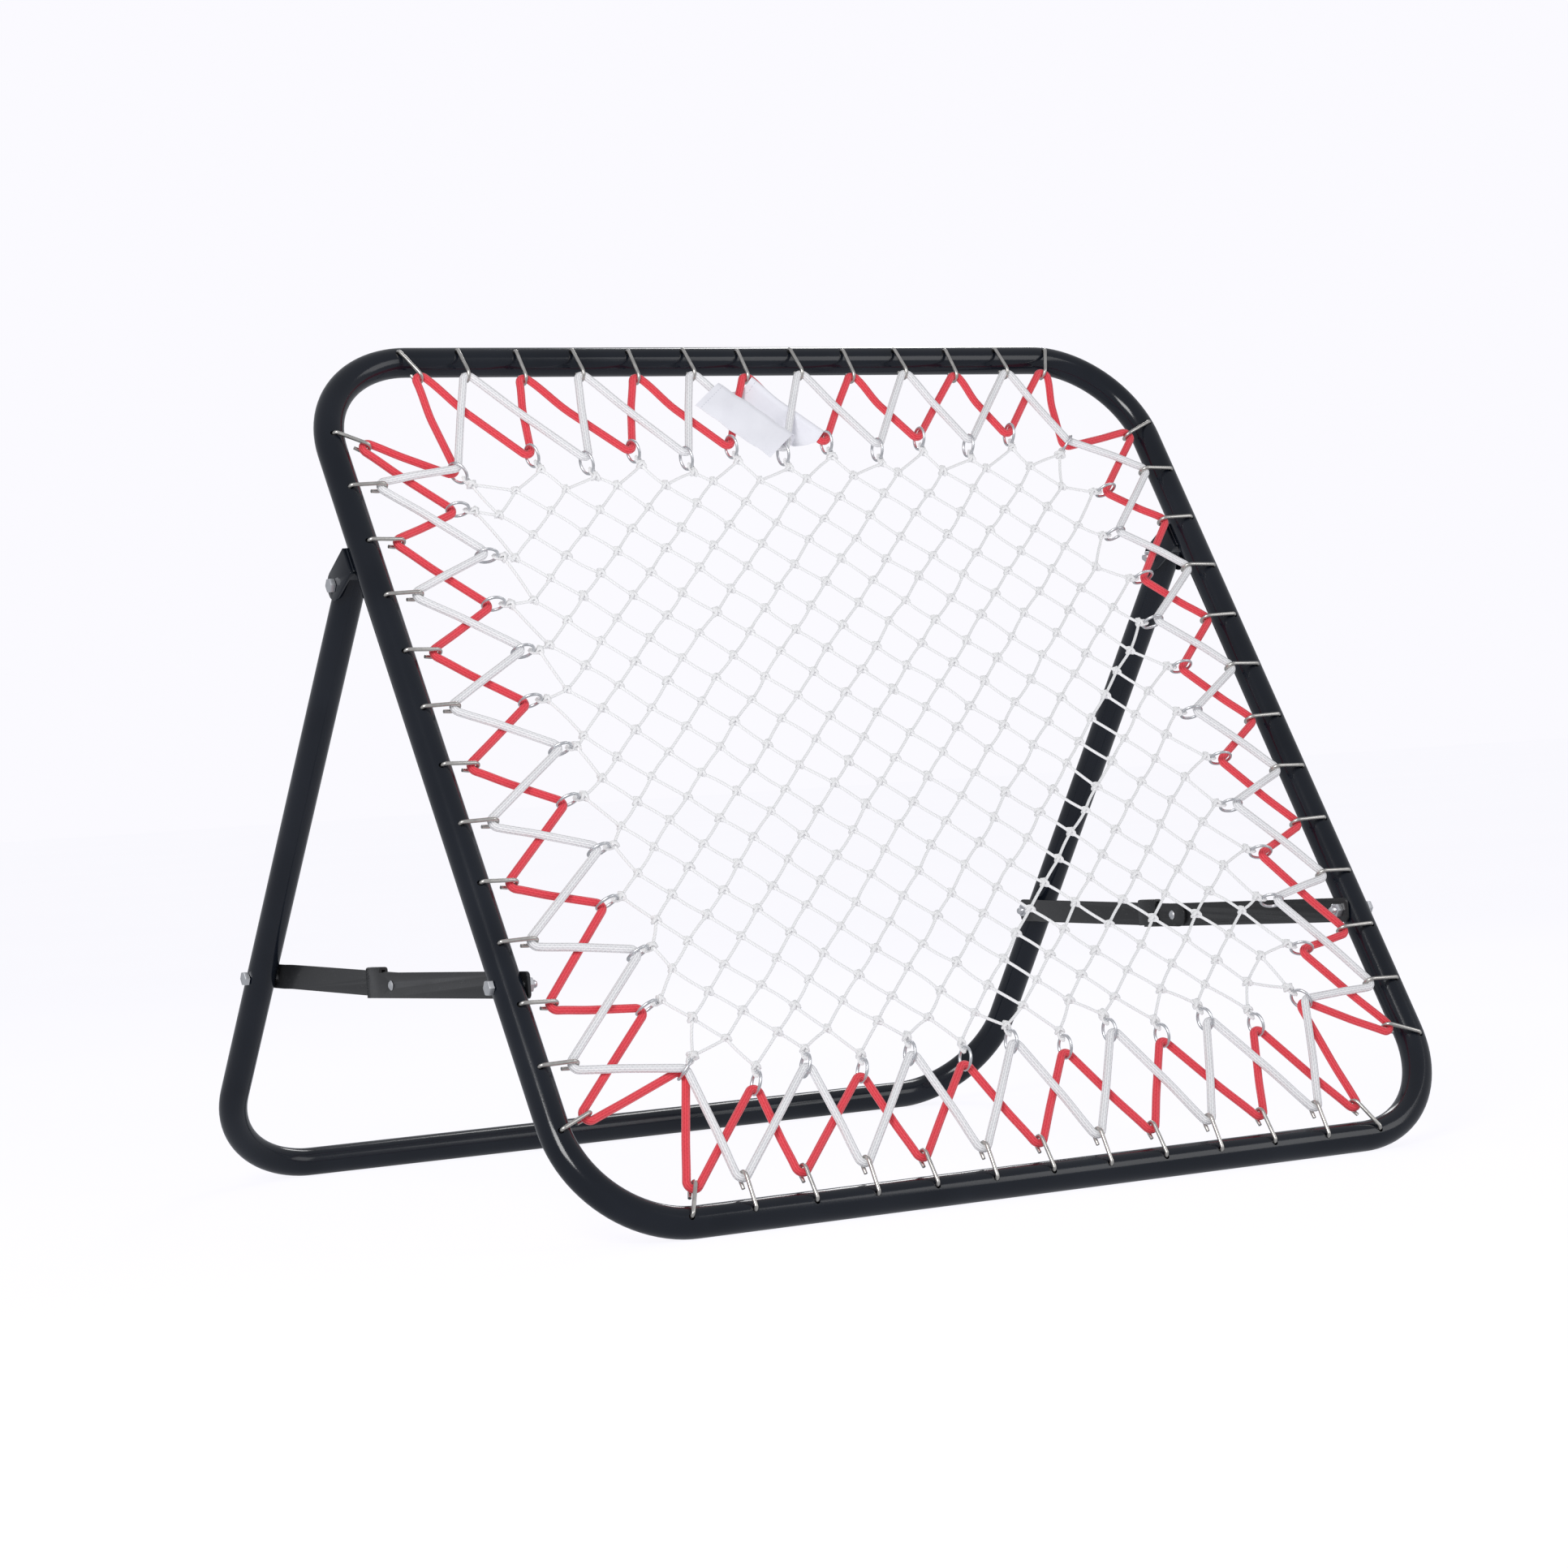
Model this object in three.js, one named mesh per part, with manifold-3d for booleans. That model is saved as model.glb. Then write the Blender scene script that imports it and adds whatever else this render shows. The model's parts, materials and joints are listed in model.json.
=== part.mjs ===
// Pitch back rebounder: a square tubular frame that leans back on a folding rear leg. A diamond
// mesh net hangs inside the frame from two elastic cords, which zigzag between wire hooks in the
// frame and small rings on the edge of the net. Millimetres, +Z up, +Y towards the rear leg.
//
// "Frame space" is the leaning frame laid flat: X to the right, Y up the slope from the axis of
// the bottom tube, Z out of the front face. "Leg space" has its origin on the fold axis, with Y
// up the leg and the leg itself on the negative side of Y.
import * as THREE from 'three';
import { mergeVertices } from 'three/addons/utils/BufferGeometryUtils.js';
import Module from 'manifold-3d';

// ------------------------------------------------------------------ driving dimensions
const FRAME_WIDTH = 1000;      // over the side tubes
const FRAME_LENGTH = 1000;     // over the end tubes, up the slope
const FRAME_BEND = 110;        // corner radius on the tube axis
const LEAN = 58.4;             // frame above the ground, degrees
const TUBE_D = 30;
const TUBE_SIDES = 12;
const BEND_STEPS = 6;

// The leg and its braces keep these shares of the frame, so a longer one still folds flat.
const PIVOT_UP = 0.7355 * FRAME_LENGTH;  // fold axis above the bottom tube, up the slope
const LEG_LENGTH = 0.751 * FRAME_LENGTH; // fold axis to the axis of the leg's bottom tube
const PIVOT_BACK = 48;         // fold axis behind the side tubes
const LEG_BEND = 110;
const LEG_WALL = 1.5;
const LEG_OVERRUN = 17;        // tube beyond the fold axis

const BRACKET_PLATE = 3;
const BRACKET_HEIGHT = 30;
const BRACKET_GRIP = 7;        // how far the cheeks reach along the side tube's flanks

const BRACE_FRONT_UP = 0.2544 * FRAME_LENGTH;  // front brace bolt above the bottom tube
const BRACE_ALONG_LEG = 0.4853 * FRAME_LENGTH; // rear brace bolt below the fold axis
const LINK_WIDTH = 25;
const LINK_PLATE = 3;
const LINK_SAG = 5;            // rivet below the straight line between the two bolts
const LINK_DIFFERENCE = 2.4;   // rear link longer than front link, so they fold between the tubes
const LINK_LAP = 59;           // front link beyond the rivet
const TAB_LENGTH = 32;         // stop tab folded over the rear link
const REAR_LINK_NOSE = 23;     // rear link beyond the rivet
const JOGGLE_START = 22;       // rear link, offset begins this far from the rear bolt
const JOGGLE_RUN = 12;

const BOLT_D = 8;
const BOLT_SIDES = 8;
const HEX_FLATS = 13;
const HEAD_HEIGHT = 5.3;
const NUT_HEIGHT = 6.5;
const THREAD_END = 4.5;        // thread showing past a nut
const RIVET_D = 6;
const RIVET_HEAD_D = 10;
const RIVET_HEAD = 2.2;

const HOOKS_PER_SIDE = 13;
const HOOK_ROW_MARGIN = 113;   // first and last hook, along the tube from the outside of the frame
const HOOK_WIRE = 4;
const HOOK_CORD_INSET = 31;    // cord in a hook, from the tube axis towards the net
const HOOK_END_TILT = 24;      // the last hook of each row leans to the middle, degrees
const CORD_PLANE = 11;         // net and cords in front of the plane of the tube axes

const CORD_D = 8;
const CORD_SIDES = 4;
const CORD_CROSSING = 0.8 * CORD_D;  // each cord leaves the cord plane by this much at a crossing
const CORNER_LEVEL = 0.5 * CORD_D;    // the two cords lie one over the other in a corner ring
const CORNER_DEPTH = 1.2;             // and further into it

const RING_D = 2 * CORD_D + 9; // outside, with room for both cords in a corner ring
const RING_WIRE = 3;
const RINGS_PER_SIDE = 11;
// A hand-laced net hangs a little unevenly. The corner rings stand this far inwards from the
// tube axes, sideways and along the slope: top left, top right, bottom right, bottom left.
const CORNER_RING_GAPS = [[120, 146], [119, 124], [122, 152], [143, 147]];
// The rings between them, side by side, clockwise from the top: "spread" is the share of the way
// between the corner rings that they take up, "out" how far the rings on the red cord stand
// outside that line, and "slide" how far the row has slipped clockwise.
const RING_ROWS = [
  { spread: 0.789, out: 17, slide: 11 },
  { spread: 0.829, out: 27, slide: 2 },
  { spread: 0.811, out: 22, slide: 0 },
  { spread: 0.836, out: 15, slide: 12 },
];
const WHITE_RING_INSET = 12;   // rings on the white cord sit closer to the middle

const NET_STRANDS = 24;        // strands in each diagonal direction
const TWINE = 2.5;
const TWINE_SIDES = 3;

const LABEL_WALL = 0.8;
const LABEL_LENGTH = 46;
const LABEL_START = 12;        // from the hook, along the cord that it hangs from

const CLEARANCE = 0.3;         // between pieces that touch

// ------------------------------------------------------------------ derived places
const RAD = Math.PI / 180;
const tubeR = TUBE_D / 2;
const apothem = tubeR * Math.cos(Math.PI / TUBE_SIDES);
const axisX = FRAME_WIDTH / 2 - tubeR;          // side tube axes
const frameTop = FRAME_LENGTH - TUBE_D;         // top tube axis in frame space
const lean = LEAN * RAD;
const boltR = BOLT_D / 2;
const boreR = (boltR + CLEARANCE) / Math.cos(Math.PI / BOLT_SIDES);
const linkOuter = axisX - tubeR - 2 * CLEARANCE; // face of the front link next to the tube
const rearLinkOuter = linkOuter - LINK_PLATE - CLEARANCE;
const ringR = (RING_D - RING_WIRE) / 2;

const pivotZ = PIVOT_UP * Math.sin(lean) - PIVOT_BACK * Math.cos(lean);
const legAngle = Math.PI - Math.asin(pivotZ / LEG_LENGTH);   // Y of leg space, from the ground
const legSpread = legAngle - lean;

// A point on the leg at rest, "down" from the fold axis.
const legPoint = (down) => new THREE.Vector3(
  0,
  PIVOT_UP - down * Math.cos(legSpread),
  -PIVOT_BACK - down * Math.sin(legSpread),
);
const frontBolt = new THREE.Vector3(0, BRACE_FRONT_UP, 0);
const rearBolt = legPoint(BRACE_ALONG_LEG);

// The two links meet at a rivet that hangs just below the line between the bolts.
const boltSpan = frontBolt.distanceTo(rearBolt);
const frontShare = boltSpan / 2 - LINK_DIFFERENCE / 2;
const spanDir = rearBolt.clone().sub(frontBolt).normalize();
const sagDir = new THREE.Vector3(0, spanDir.z, -spanDir.y);
const rivet = frontBolt.clone().addScaledVector(spanDir, frontShare).addScaledVector(sagDir, LINK_SAG);
const frontLinkLength = rivet.distanceTo(frontBolt);
const rearLinkLength = rivet.distanceTo(rearBolt);

// The direction between two points as an angle from +Y towards +Z.
const angleOf = (from, to) => Math.atan2(to.z - from.z, to.y - from.y);

// ------------------------------------------------------------------ solids
const wasm = await Module();
wasm.setup();

function solid(geometry, matrix = new THREE.Matrix4()) {
  const bare = geometry.clone().applyMatrix4(matrix);
  bare.deleteAttribute('normal');
  bare.deleteAttribute('uv');
  const merged = mergeVertices(bare, 1e-4);
  return new wasm.Manifold(new wasm.Mesh({
    numProp: 3,
    vertProperties: new Float32Array(merged.attributes.position.array),
    triVerts: new Uint32Array(merged.index.array),
  }));
}

function geometryOf(manifold) {
  const mesh = manifold.getMesh();
  const geometry = new THREE.BufferGeometry();
  geometry.setAttribute('position', new THREE.BufferAttribute(mesh.vertProperties, 3));
  geometry.setIndex(new THREE.BufferAttribute(mesh.triVerts, 1));
  return geometry;
}

function joined(solids) {
  return solids.reduce((whole, next) => whole.add(next)).asOriginal().simplify(0.02);
}

// ------------------------------------------------------------------ shared shapes
// A bent line through given points, which a section follows with one step per point.
class Route extends THREE.Curve {
  constructor(points) {
    super();
    this.points = points;
  }

  getPoint(t, target = new THREE.Vector3()) {
    const last = this.points.length - 1;
    const at = Math.min(Math.max(t, 0), 1) * last;
    const index = Math.min(Math.floor(at + 1e-6), last - 1);
    return target.lerpVectors(this.points[index], this.points[index + 1], at - index);
  }

  getPointAt(u, target) {
    return this.getPoint(u, target);
  }

  getTangent(t, target = new THREE.Vector3()) {
    const last = this.points.length - 1;
    const index = Math.round(t * last);
    const before = this.points[Math.max(index - 1, 0)];
    const here = this.points[index];
    const after = this.points[Math.min(index + 1, last)];
    const incoming = here.clone().sub(before).normalize();
    const outgoing = after.clone().sub(here).normalize();
    return target.copy(incoming.add(outgoing)).normalize();
  }

  getTangentAt(u, target) {
    return this.getTangent(u, target);
  }
}

function polygon(radius, sides, phase = 0) {
  const points = [];
  for (let i = 0; i < sides; i += 1) {
    const angle = phase + (i * 2 * Math.PI) / sides;
    points.push(new THREE.Vector2(radius * Math.cos(angle), radius * Math.sin(angle)));
  }
  return points;
}

function sweep(points, radius, sides, phase = 0, boreRadius = 0) {
  const section = new THREE.Shape(polygon(radius, sides, phase));
  if (boreRadius > 0) {
    section.holes.push(new THREE.Path(polygon(boreRadius, sides, phase)));
  }
  const route = new Route(points);
  return new THREE.ExtrudeGeometry(section, { steps: points.length - 1, extrudePath: route });
}

// Points of a circular bend about a centre, in the XY plane.
function bend(centre, radius, from, to, steps) {
  const points = [];
  for (let i = 0; i <= steps; i += 1) {
    const angle = from + ((to - from) * i) / steps;
    points.push(new THREE.Vector3(
      centre.x + radius * Math.cos(angle),
      centre.y + radius * Math.sin(angle),
      centre.z ?? 0,
    ));
  }
  return points;
}

// A copy of a shape at its place. A mirroring matrix turns the faces round, so they are turned
// back.
function placed(geometry, matrix) {
  const copy = geometry.clone().applyMatrix4(matrix);
  const position = copy.attributes.position;
  if (matrix.determinant() < 0) {
    for (let i = 0; i < position.count; i += 3) {
      const b = new THREE.Vector3().fromBufferAttribute(position, i + 1);
      const c = new THREE.Vector3().fromBufferAttribute(position, i + 2);
      position.setXYZ(i + 1, c.x, c.y, c.z);
      position.setXYZ(i + 2, b.x, b.y, b.z);
    }
  }
  return copy;
}

// Makes the Z axis of a shape lie along X, with the shape's X along Y and its Y along Z.
const sideways = new THREE.Matrix4().makeBasis(
  new THREE.Vector3(0, 1, 0),
  new THREE.Vector3(0, 0, 1),
  new THREE.Vector3(1, 0, 0),
);

// A plate with its outline in the YZ plane and its thickness between two X values.
function plate(outline, x0, x1) {
  const depth = Math.abs(x1 - x0);
  const geometry = new THREE.ExtrudeGeometry(outline, { depth, bevelEnabled: false, curveSegments: 5 });
  geometry.applyMatrix4(sideways);
  geometry.translate(Math.min(x0, x1), 0, 0);
  return geometry;
}

// A round or hexagonal bar along X between two X values.
function bar(radius, x0, x1, y, z, sides = BOLT_SIDES) {
  const geometry = new THREE.CylinderGeometry(radius, radius, Math.abs(x1 - x0), sides);
  geometry.rotateZ(Math.PI / 2);
  geometry.translate((x0 + x1) / 2, y, z);
  return geometry;
}

function mesh(name, geometry, material) {
  geometry.computeVertexNormals();
  const result = new THREE.Mesh(geometry, material.clone());
  result.name = name;
  return result;
}

function paint(color, roughness, metalness) {
  return new THREE.MeshStandardMaterial({ color, roughness, metalness });
}
const tubeBlack = paint(0x10141c, 0.28, 0.1);
const linkBlack = paint(0x24252a, 0.42, 0.2);
const zinc = paint(0xb9bcc2, 0.3, 1);
const plugBlack = paint(0x15161a, 0.6, 0);
const redCord = paint(0xe44250, 0.6, 0);
const whiteCord = paint(0xd9dadd, 0.65, 0);
const whiteTwine = paint(0xf1f1f1, 0.6, 0);
const labelWhite = paint(0xececf2, 0.7, 0);

// ------------------------------------------------------------------ the four sides of the frame
// Each side has a local X that runs along its tube and a local Y that points to the net. The
// lacing runs clockwise from the top left corner.
function sideFrame(origin, alongAngle) {
  const matrix = new THREE.Matrix4().makeRotationZ(alongAngle);
  // Going clockwise, the net is on the right-hand side of the direction of travel.
  const flip = new THREE.Matrix4().makeScale(1, -1, 1);
  return matrix.multiply(flip).setPosition(origin);
}
const middleY = frameTop / 2;
const SIDES = [
  { span: FRAME_WIDTH, place: sideFrame(new THREE.Vector3(0, frameTop, 0), 0) },
  { span: FRAME_LENGTH, place: sideFrame(new THREE.Vector3(axisX, middleY, 0), -Math.PI / 2) },
  { span: FRAME_WIDTH, place: sideFrame(new THREE.Vector3(0, 0, 0), Math.PI) },
  { span: FRAME_LENGTH, place: sideFrame(new THREE.Vector3(-axisX, middleY, 0), Math.PI / 2) },
];

function hookTilt(index) {
  if (index === 0) {
    return HOOK_END_TILT * RAD;
  }
  return index === HOOKS_PER_SIDE - 1 ? -HOOK_END_TILT * RAD : 0;
}

// Where hook number "index" leaves the tube, along its side.
function hookAlong(side, index) {
  const row = side.span - 2 * HOOK_ROW_MARGIN;
  return (index / (HOOKS_PER_SIDE - 1) - 0.5) * row;
}

// Centre of the wire at the bottom of a hook's curl: the cord bends round this point.
const curlR = CORD_D / 2 + 2 * CLEARANCE + HOOK_WIRE / 2;
function hookPost(side, index) {
  const reach = HOOK_CORD_INSET + curlR;
  const tilt = hookTilt(index);
  const local = new THREE.Vector3(
    hookAlong(side, index) + reach * Math.sin(tilt),
    reach * Math.cos(tilt),
    CORD_PLANE,
  );
  return local.applyMatrix4(side.place);
}

const CORNERS = CORNER_RING_GAPS.map(([sideways, along], corner) => {
  const leftSide = corner === 0 || corner === 3;
  const x = leftSide ? -axisX + sideways : axisX - sideways;
  const y = corner < 2 ? frameTop - along : along;
  return new THREE.Vector3(x, y, CORD_PLANE);
});

// Centres of the rings along side number s of the net, counted clockwise.
function ringCentre(s, index) {
  const row = RING_ROWS[s];
  const from = CORNERS[s];
  const to = CORNERS[(s + 1) % 4];
  const along = to.clone().sub(from);
  const outward = new THREE.Vector3(-along.y, along.x, 0).normalize();
  const share = 0.5 + (index / (RINGS_PER_SIDE - 1) - 0.5) * row.spread + row.slide / along.length();
  const inset = index % 2 === 1 ? WHITE_RING_INSET : 0;
  return from.clone().addScaledVector(along, share).addScaledVector(outward, row.out - inset);
}

// Direction in which two cord arms pull a ring, given the posts that they run to.
function pull(centre, first, second) {
  const a = first.clone().sub(centre).normalize();
  const b = second.clone().sub(centre).normalize();
  return a.add(b).normalize();
}

// Every ring of the net with the direction of its pull.
function allRings() {
  const rings = [];
  SIDES.forEach((side, s) => {
    const previous = SIDES[(s + 3) % 4];
    const corner = CORNERS[s];
    const last = HOOKS_PER_SIDE - 1;
    rings.push({
      corner: s,
      centre: corner,
      dir: pull(corner, hookPost(previous, last), hookPost(side, 0)),
    });
    for (let k = 0; k < RINGS_PER_SIDE; k += 1) {
      const centre = ringCentre(s, k);
      rings.push({ side: s, index: k, centre, dir: pull(centre, hookPost(side, k), hookPost(side, k + 2)) });
    }
  });
  return rings;
}
const RINGS = allRings();

// ------------------------------------------------------------------ front frame
function hookGeometry() {
  const wireZ = tubeR + HOOK_WIRE / 2;
  const inset = HOOK_CORD_INSET;
  const points = [
    new THREE.Vector3(0, -1, tubeR - 5),
    new THREE.Vector3(0, 1.5, wireZ + 0.6),
    new THREE.Vector3(0, inset - 2, CORD_PLANE + curlR),
  ];
  for (const degrees of [40, -30, -100]) {
    points.push(new THREE.Vector3(
      0,
      inset + curlR * Math.cos(degrees * RAD),
      CORD_PLANE + curlR * Math.sin(degrees * RAD),
    ));
  }
  points.push(new THREE.Vector3(0, inset - 9, CORD_PLANE - curlR + 1));
  return sweep(points, HOOK_WIRE / 2, 3, Math.PI / 6);
}

function frontTube() {
  const halfLoop = (sign) => {
    const x = sign * (axisX - FRAME_BEND);
    const low = bend(new THREE.Vector3(x, FRAME_BEND, 0), FRAME_BEND, -Math.PI / 2,
      sign > 0 ? 0 : -Math.PI, BEND_STEPS);
    const high = bend(new THREE.Vector3(x, frameTop - FRAME_BEND, 0), FRAME_BEND,
      sign > 0 ? 0 : Math.PI, Math.PI / 2, BEND_STEPS);
    const points = [new THREE.Vector3(0, 0, 0), ...low, ...high, new THREE.Vector3(0, frameTop, 0)];
    // The section keeps one facet level with the ground under the bottom tube.
    const phase = sign > 0 ? -lean : lean;
    return solid(sweep(points, tubeR, TUBE_SIDES, phase + Math.PI / TUBE_SIDES));
  };
  return halfLoop(1).add(halfLoop(-1));
}

function frontFrame() {
  const parts = [frontTube()];
  const hook = hookGeometry();
  for (const side of SIDES) {
    for (let i = 0; i < HOOKS_PER_SIDE; i += 1) {
      const turn = new THREE.Matrix4().makeRotationZ(-hookTilt(i));
      turn.setPosition(hookAlong(side, i), 0, 0);
      parts.push(solid(placed(hook, side.place.clone().multiply(turn))));
    }
  }
  let whole = joined(parts);
  for (const sign of [-1, 1]) {
    const bore = bar(boreR, sign * (axisX - 25), sign * (axisX + 25), BRACE_FRONT_UP, 0);
    whole = whole.subtract(solid(bore));
  }
  return mesh('front_frame', geometryOf(whole), tubeBlack);
}

// ------------------------------------------------------------------ hinge brackets
// A saddle welded to the back of the side tube, with two cheeks that straddle the leg.
function bracket(name, sign) {
  const cheekIn = tubeR + 2 * CLEARANCE;
  const cheekOut = cheekIn + BRACKET_PLATE;
  const half = BRACKET_HEIGHT / 2;
  const outline = new THREE.Shape();
  outline.moveTo(PIVOT_UP - half, -BRACKET_GRIP);
  outline.lineTo(PIVOT_UP - half, -PIVOT_BACK);
  outline.absarc(PIVOT_UP, -PIVOT_BACK, half, Math.PI, 2 * Math.PI, false);
  outline.lineTo(PIVOT_UP + half, -BRACKET_GRIP);
  outline.closePath();
  const x = sign * axisX;
  const body = solid(plate(outline, x - cheekOut, x + cheekOut));
  const webBack = tubeR + CLEARANCE + BRACKET_PLATE;
  const slotDepth = PIVOT_BACK + BRACKET_HEIGHT - webBack;
  const slot = new THREE.BoxGeometry(2 * cheekIn, 2 * BRACKET_HEIGHT, slotDepth);
  slot.translate(x, PIVOT_UP, -webBack - slotDepth / 2);
  const saddle = new THREE.CylinderGeometry(tubeR + CLEARANCE, tubeR + CLEARANCE, 2 * BRACKET_HEIGHT, 24);
  saddle.translate(x, PIVOT_UP, 0);
  const bore = bar(boreR, x - 2 * cheekOut, x + 2 * cheekOut, PIVOT_UP, -PIVOT_BACK);
  const whole = body.subtract(solid(slot)).subtract(solid(saddle)).subtract(solid(bore));
  return mesh(name, geometryOf(whole), tubeBlack);
}

// ------------------------------------------------------------------ bolts, nuts and rivets
// A hexagon bolt along X. The head sits outside "headFace" and the thread ends at "tip".
function bolt(name, sign, headFace, tip, y, z, material = zinc) {
  const hexR = HEX_FLATS / 2 / Math.cos(Math.PI / 6);
  const head = bar(hexR, sign * headFace, sign * (headFace + HEAD_HEIGHT), y, z, 6);
  const shank = bar(boltR, sign * tip, sign * (headFace + 1), y, z);
  return mesh(name, geometryOf(solid(head).add(solid(shank))), material);
}

function nut(name, sign, face, y, z) {
  const hexR = HEX_FLATS / 2 / Math.cos(Math.PI / 6);
  const body = bar(hexR, sign * face, sign * (face - NUT_HEIGHT), y, z, 6);
  const bore = bar(boreR, sign * (face + 5), sign * (face - NUT_HEIGHT - 5), y, z);
  return mesh(name, geometryOf(solid(body).subtract(solid(bore))), zinc);
}

// A nut with the end of its bolt in it, as one piece that turns with the link.
function nutWithThread(name, sign, face, inner, y, z) {
  const hexR = HEX_FLATS / 2 / Math.cos(Math.PI / 6);
  const body = bar(hexR, sign * face, sign * (face - NUT_HEIGHT), y, z, 6);
  const thread = bar(boltR, sign * inner, sign * (face - NUT_HEIGHT - THREAD_END), y, z);
  return mesh(name, geometryOf(solid(body).add(solid(thread))), zinc);
}

function rivetPin(name, sign) {
  const outerFace = linkOuter + CLEARANCE;
  const innerFace = rearLinkOuter - LINK_PLATE - CLEARANCE;
  const r = RIVET_D / 2;
  const headR = RIVET_HEAD_D / 2;
  const profile = [
    new THREE.Vector2(0, -RIVET_HEAD),
    new THREE.Vector2(headR * 0.7, -RIVET_HEAD * 0.7),
    new THREE.Vector2(headR, 0),
    new THREE.Vector2(r, 0),
    new THREE.Vector2(r, outerFace - innerFace),
    new THREE.Vector2(headR, outerFace - innerFace),
    new THREE.Vector2(headR * 0.7, outerFace - innerFace + RIVET_HEAD * 0.7),
    new THREE.Vector2(0, outerFace - innerFace + RIVET_HEAD),
  ];
  const geometry = new THREE.LatheGeometry(profile, 12);
  geometry.rotateZ(-Math.PI / 2);
  if (sign < 0) {
    geometry.rotateY(Math.PI);
  }
  geometry.translate(sign * innerFace, rivet.y, rivet.z);
  return mesh(name, geometryOf(solid(geometry)), zinc);
}

// ------------------------------------------------------------------ brace links
// A flat bar from Y = 0 to Y = length with both ends rounded or square, and a bore at each pin.
function linkOutline(back, front, roundFront) {
  const half = LINK_WIDTH / 2;
  const soft = 5;
  const shape = new THREE.Shape();
  shape.moveTo(-back + soft, -half);
  if (roundFront) {
    shape.lineTo(front - half, -half);
    shape.absarc(front - half, 0, half, -Math.PI / 2, Math.PI / 2, false);
  } else {
    shape.lineTo(front, -half);
    shape.lineTo(front, half);
  }
  shape.lineTo(-back + soft, half);
  shape.absarc(-back + soft, half - soft, soft, Math.PI / 2, Math.PI, false);
  shape.absarc(-back + soft, -half + soft, soft, Math.PI, 1.5 * Math.PI, false);
  return shape;
}

function pinBore(radius, y) {
  return solid(bar((radius + CLEARANCE) / Math.cos(Math.PI / BOLT_SIDES), -600, 600, y, 0));
}

// The tab lies on the upper edge as the object stands: the rear link folds down and away from it.
const upSign = Math.sign(Math.cos(angleOf(frontBolt, rivet) + lean));

// The open links bend up a little past the rivet, and the tab leaves room for that.
const linkBend = Math.abs(angleOf(frontBolt, rivet) - angleOf(rivet, rearBolt));
const tabRise = LINK_LAP * Math.tan(linkBend);

// The front link runs from its bolt to the rivet and on under the rear link, where a stop tab
// folds over the top edge of the rear link and down its inner face.
function frontLink(name, sign) {
  const outer = sign * linkOuter;
  const inner = sign * (linkOuter - LINK_PLATE);
  const flat = solid(plate(linkOutline(LINK_WIDTH / 2, frontLinkLength + LINK_LAP, false), outer, inner));
  const half = LINK_WIDTH / 2;
  const lipOuter = LINK_PLATE + 2 * CLEARANCE + LINK_PLATE;
  const fold = new THREE.Shape();
  // X of this section is the distance in from the outer face, Y is the height over the link.
  const under = half + tabRise + CLEARANCE;
  const over = under + LINK_PLATE;
  fold.moveTo(0, -half);
  fold.lineTo(0, under);
  fold.quadraticCurveTo(0, over, LINK_PLATE, over);
  fold.lineTo(lipOuter, over);
  fold.quadraticCurveTo(lipOuter + LINK_PLATE, over, lipOuter + LINK_PLATE, under);
  fold.lineTo(lipOuter + LINK_PLATE, -half + 2);
  fold.lineTo(lipOuter, -half + 2);
  fold.lineTo(lipOuter, under);
  fold.lineTo(LINK_PLATE, under);
  fold.lineTo(LINK_PLATE, -half);
  fold.closePath();
  const tab = new THREE.ExtrudeGeometry(fold, { depth: TAB_LENGTH, bevelEnabled: false, curveSegments: 3 });
  // Section X goes to the inside, section Y goes up, and the tab runs along the link.
  const basis = new THREE.Matrix4().makeBasis(
    new THREE.Vector3(-sign, 0, 0),
    new THREE.Vector3(0, 0, upSign),
    new THREE.Vector3(0, 1, 0),
  );
  basis.setPosition(outer, frontLinkLength + LINK_LAP - TAB_LENGTH, 0);
  const whole = flat.add(solid(placed(tab, basis)))
    .subtract(pinBore(boltR, 0))
    .subtract(pinBore(RIVET_D / 2, frontLinkLength));
  return mesh(name, geometryOf(whole), linkBlack);
}

// The rear link lies inside the front link. A shallow offset near its bolt brings it back to the
// inner face of the leg tube.
function rearLink(name, sign) {
  const strip = new THREE.Shape();
  const near = sign * linkOuter;
  const far = sign * rearLinkOuter;
  const wall = sign * LINK_PLATE;
  const back = LINK_WIDTH / 2 + 1;
  const front = rearLinkLength + REAR_LINK_NOSE + 1;
  strip.moveTo(-back, near);
  strip.lineTo(JOGGLE_START, near);
  strip.lineTo(JOGGLE_START + JOGGLE_RUN, far);
  strip.lineTo(front, far);
  strip.lineTo(front, far - wall);
  strip.lineTo(JOGGLE_START + JOGGLE_RUN, far - wall);
  strip.lineTo(JOGGLE_START, near - wall);
  strip.lineTo(-back, near - wall);
  strip.closePath();
  const band = new THREE.ExtrudeGeometry(strip, { depth: 2 * LINK_WIDTH, bevelEnabled: false });
  const basis = new THREE.Matrix4().makeBasis(
    new THREE.Vector3(0, 1, 0),
    new THREE.Vector3(1, 0, 0),
    new THREE.Vector3(0, 0, -1),
  );
  basis.setPosition(0, 0, LINK_WIDTH);
  band.applyMatrix4(basis);
  const outline = linkOutline(LINK_WIDTH / 2, rearLinkLength + REAR_LINK_NOSE, true);
  const wide = solid(plate(outline, sign * (linkOuter + 5), sign * (rearLinkOuter - LINK_PLATE - 5)));
  const whole = wide.intersect(solid(band)).subtract(pinBore(boltR, 0))
    .subtract(pinBore(RIVET_D / 2, rearLinkLength));
  return mesh(name, geometryOf(whole), linkBlack);
}

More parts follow.
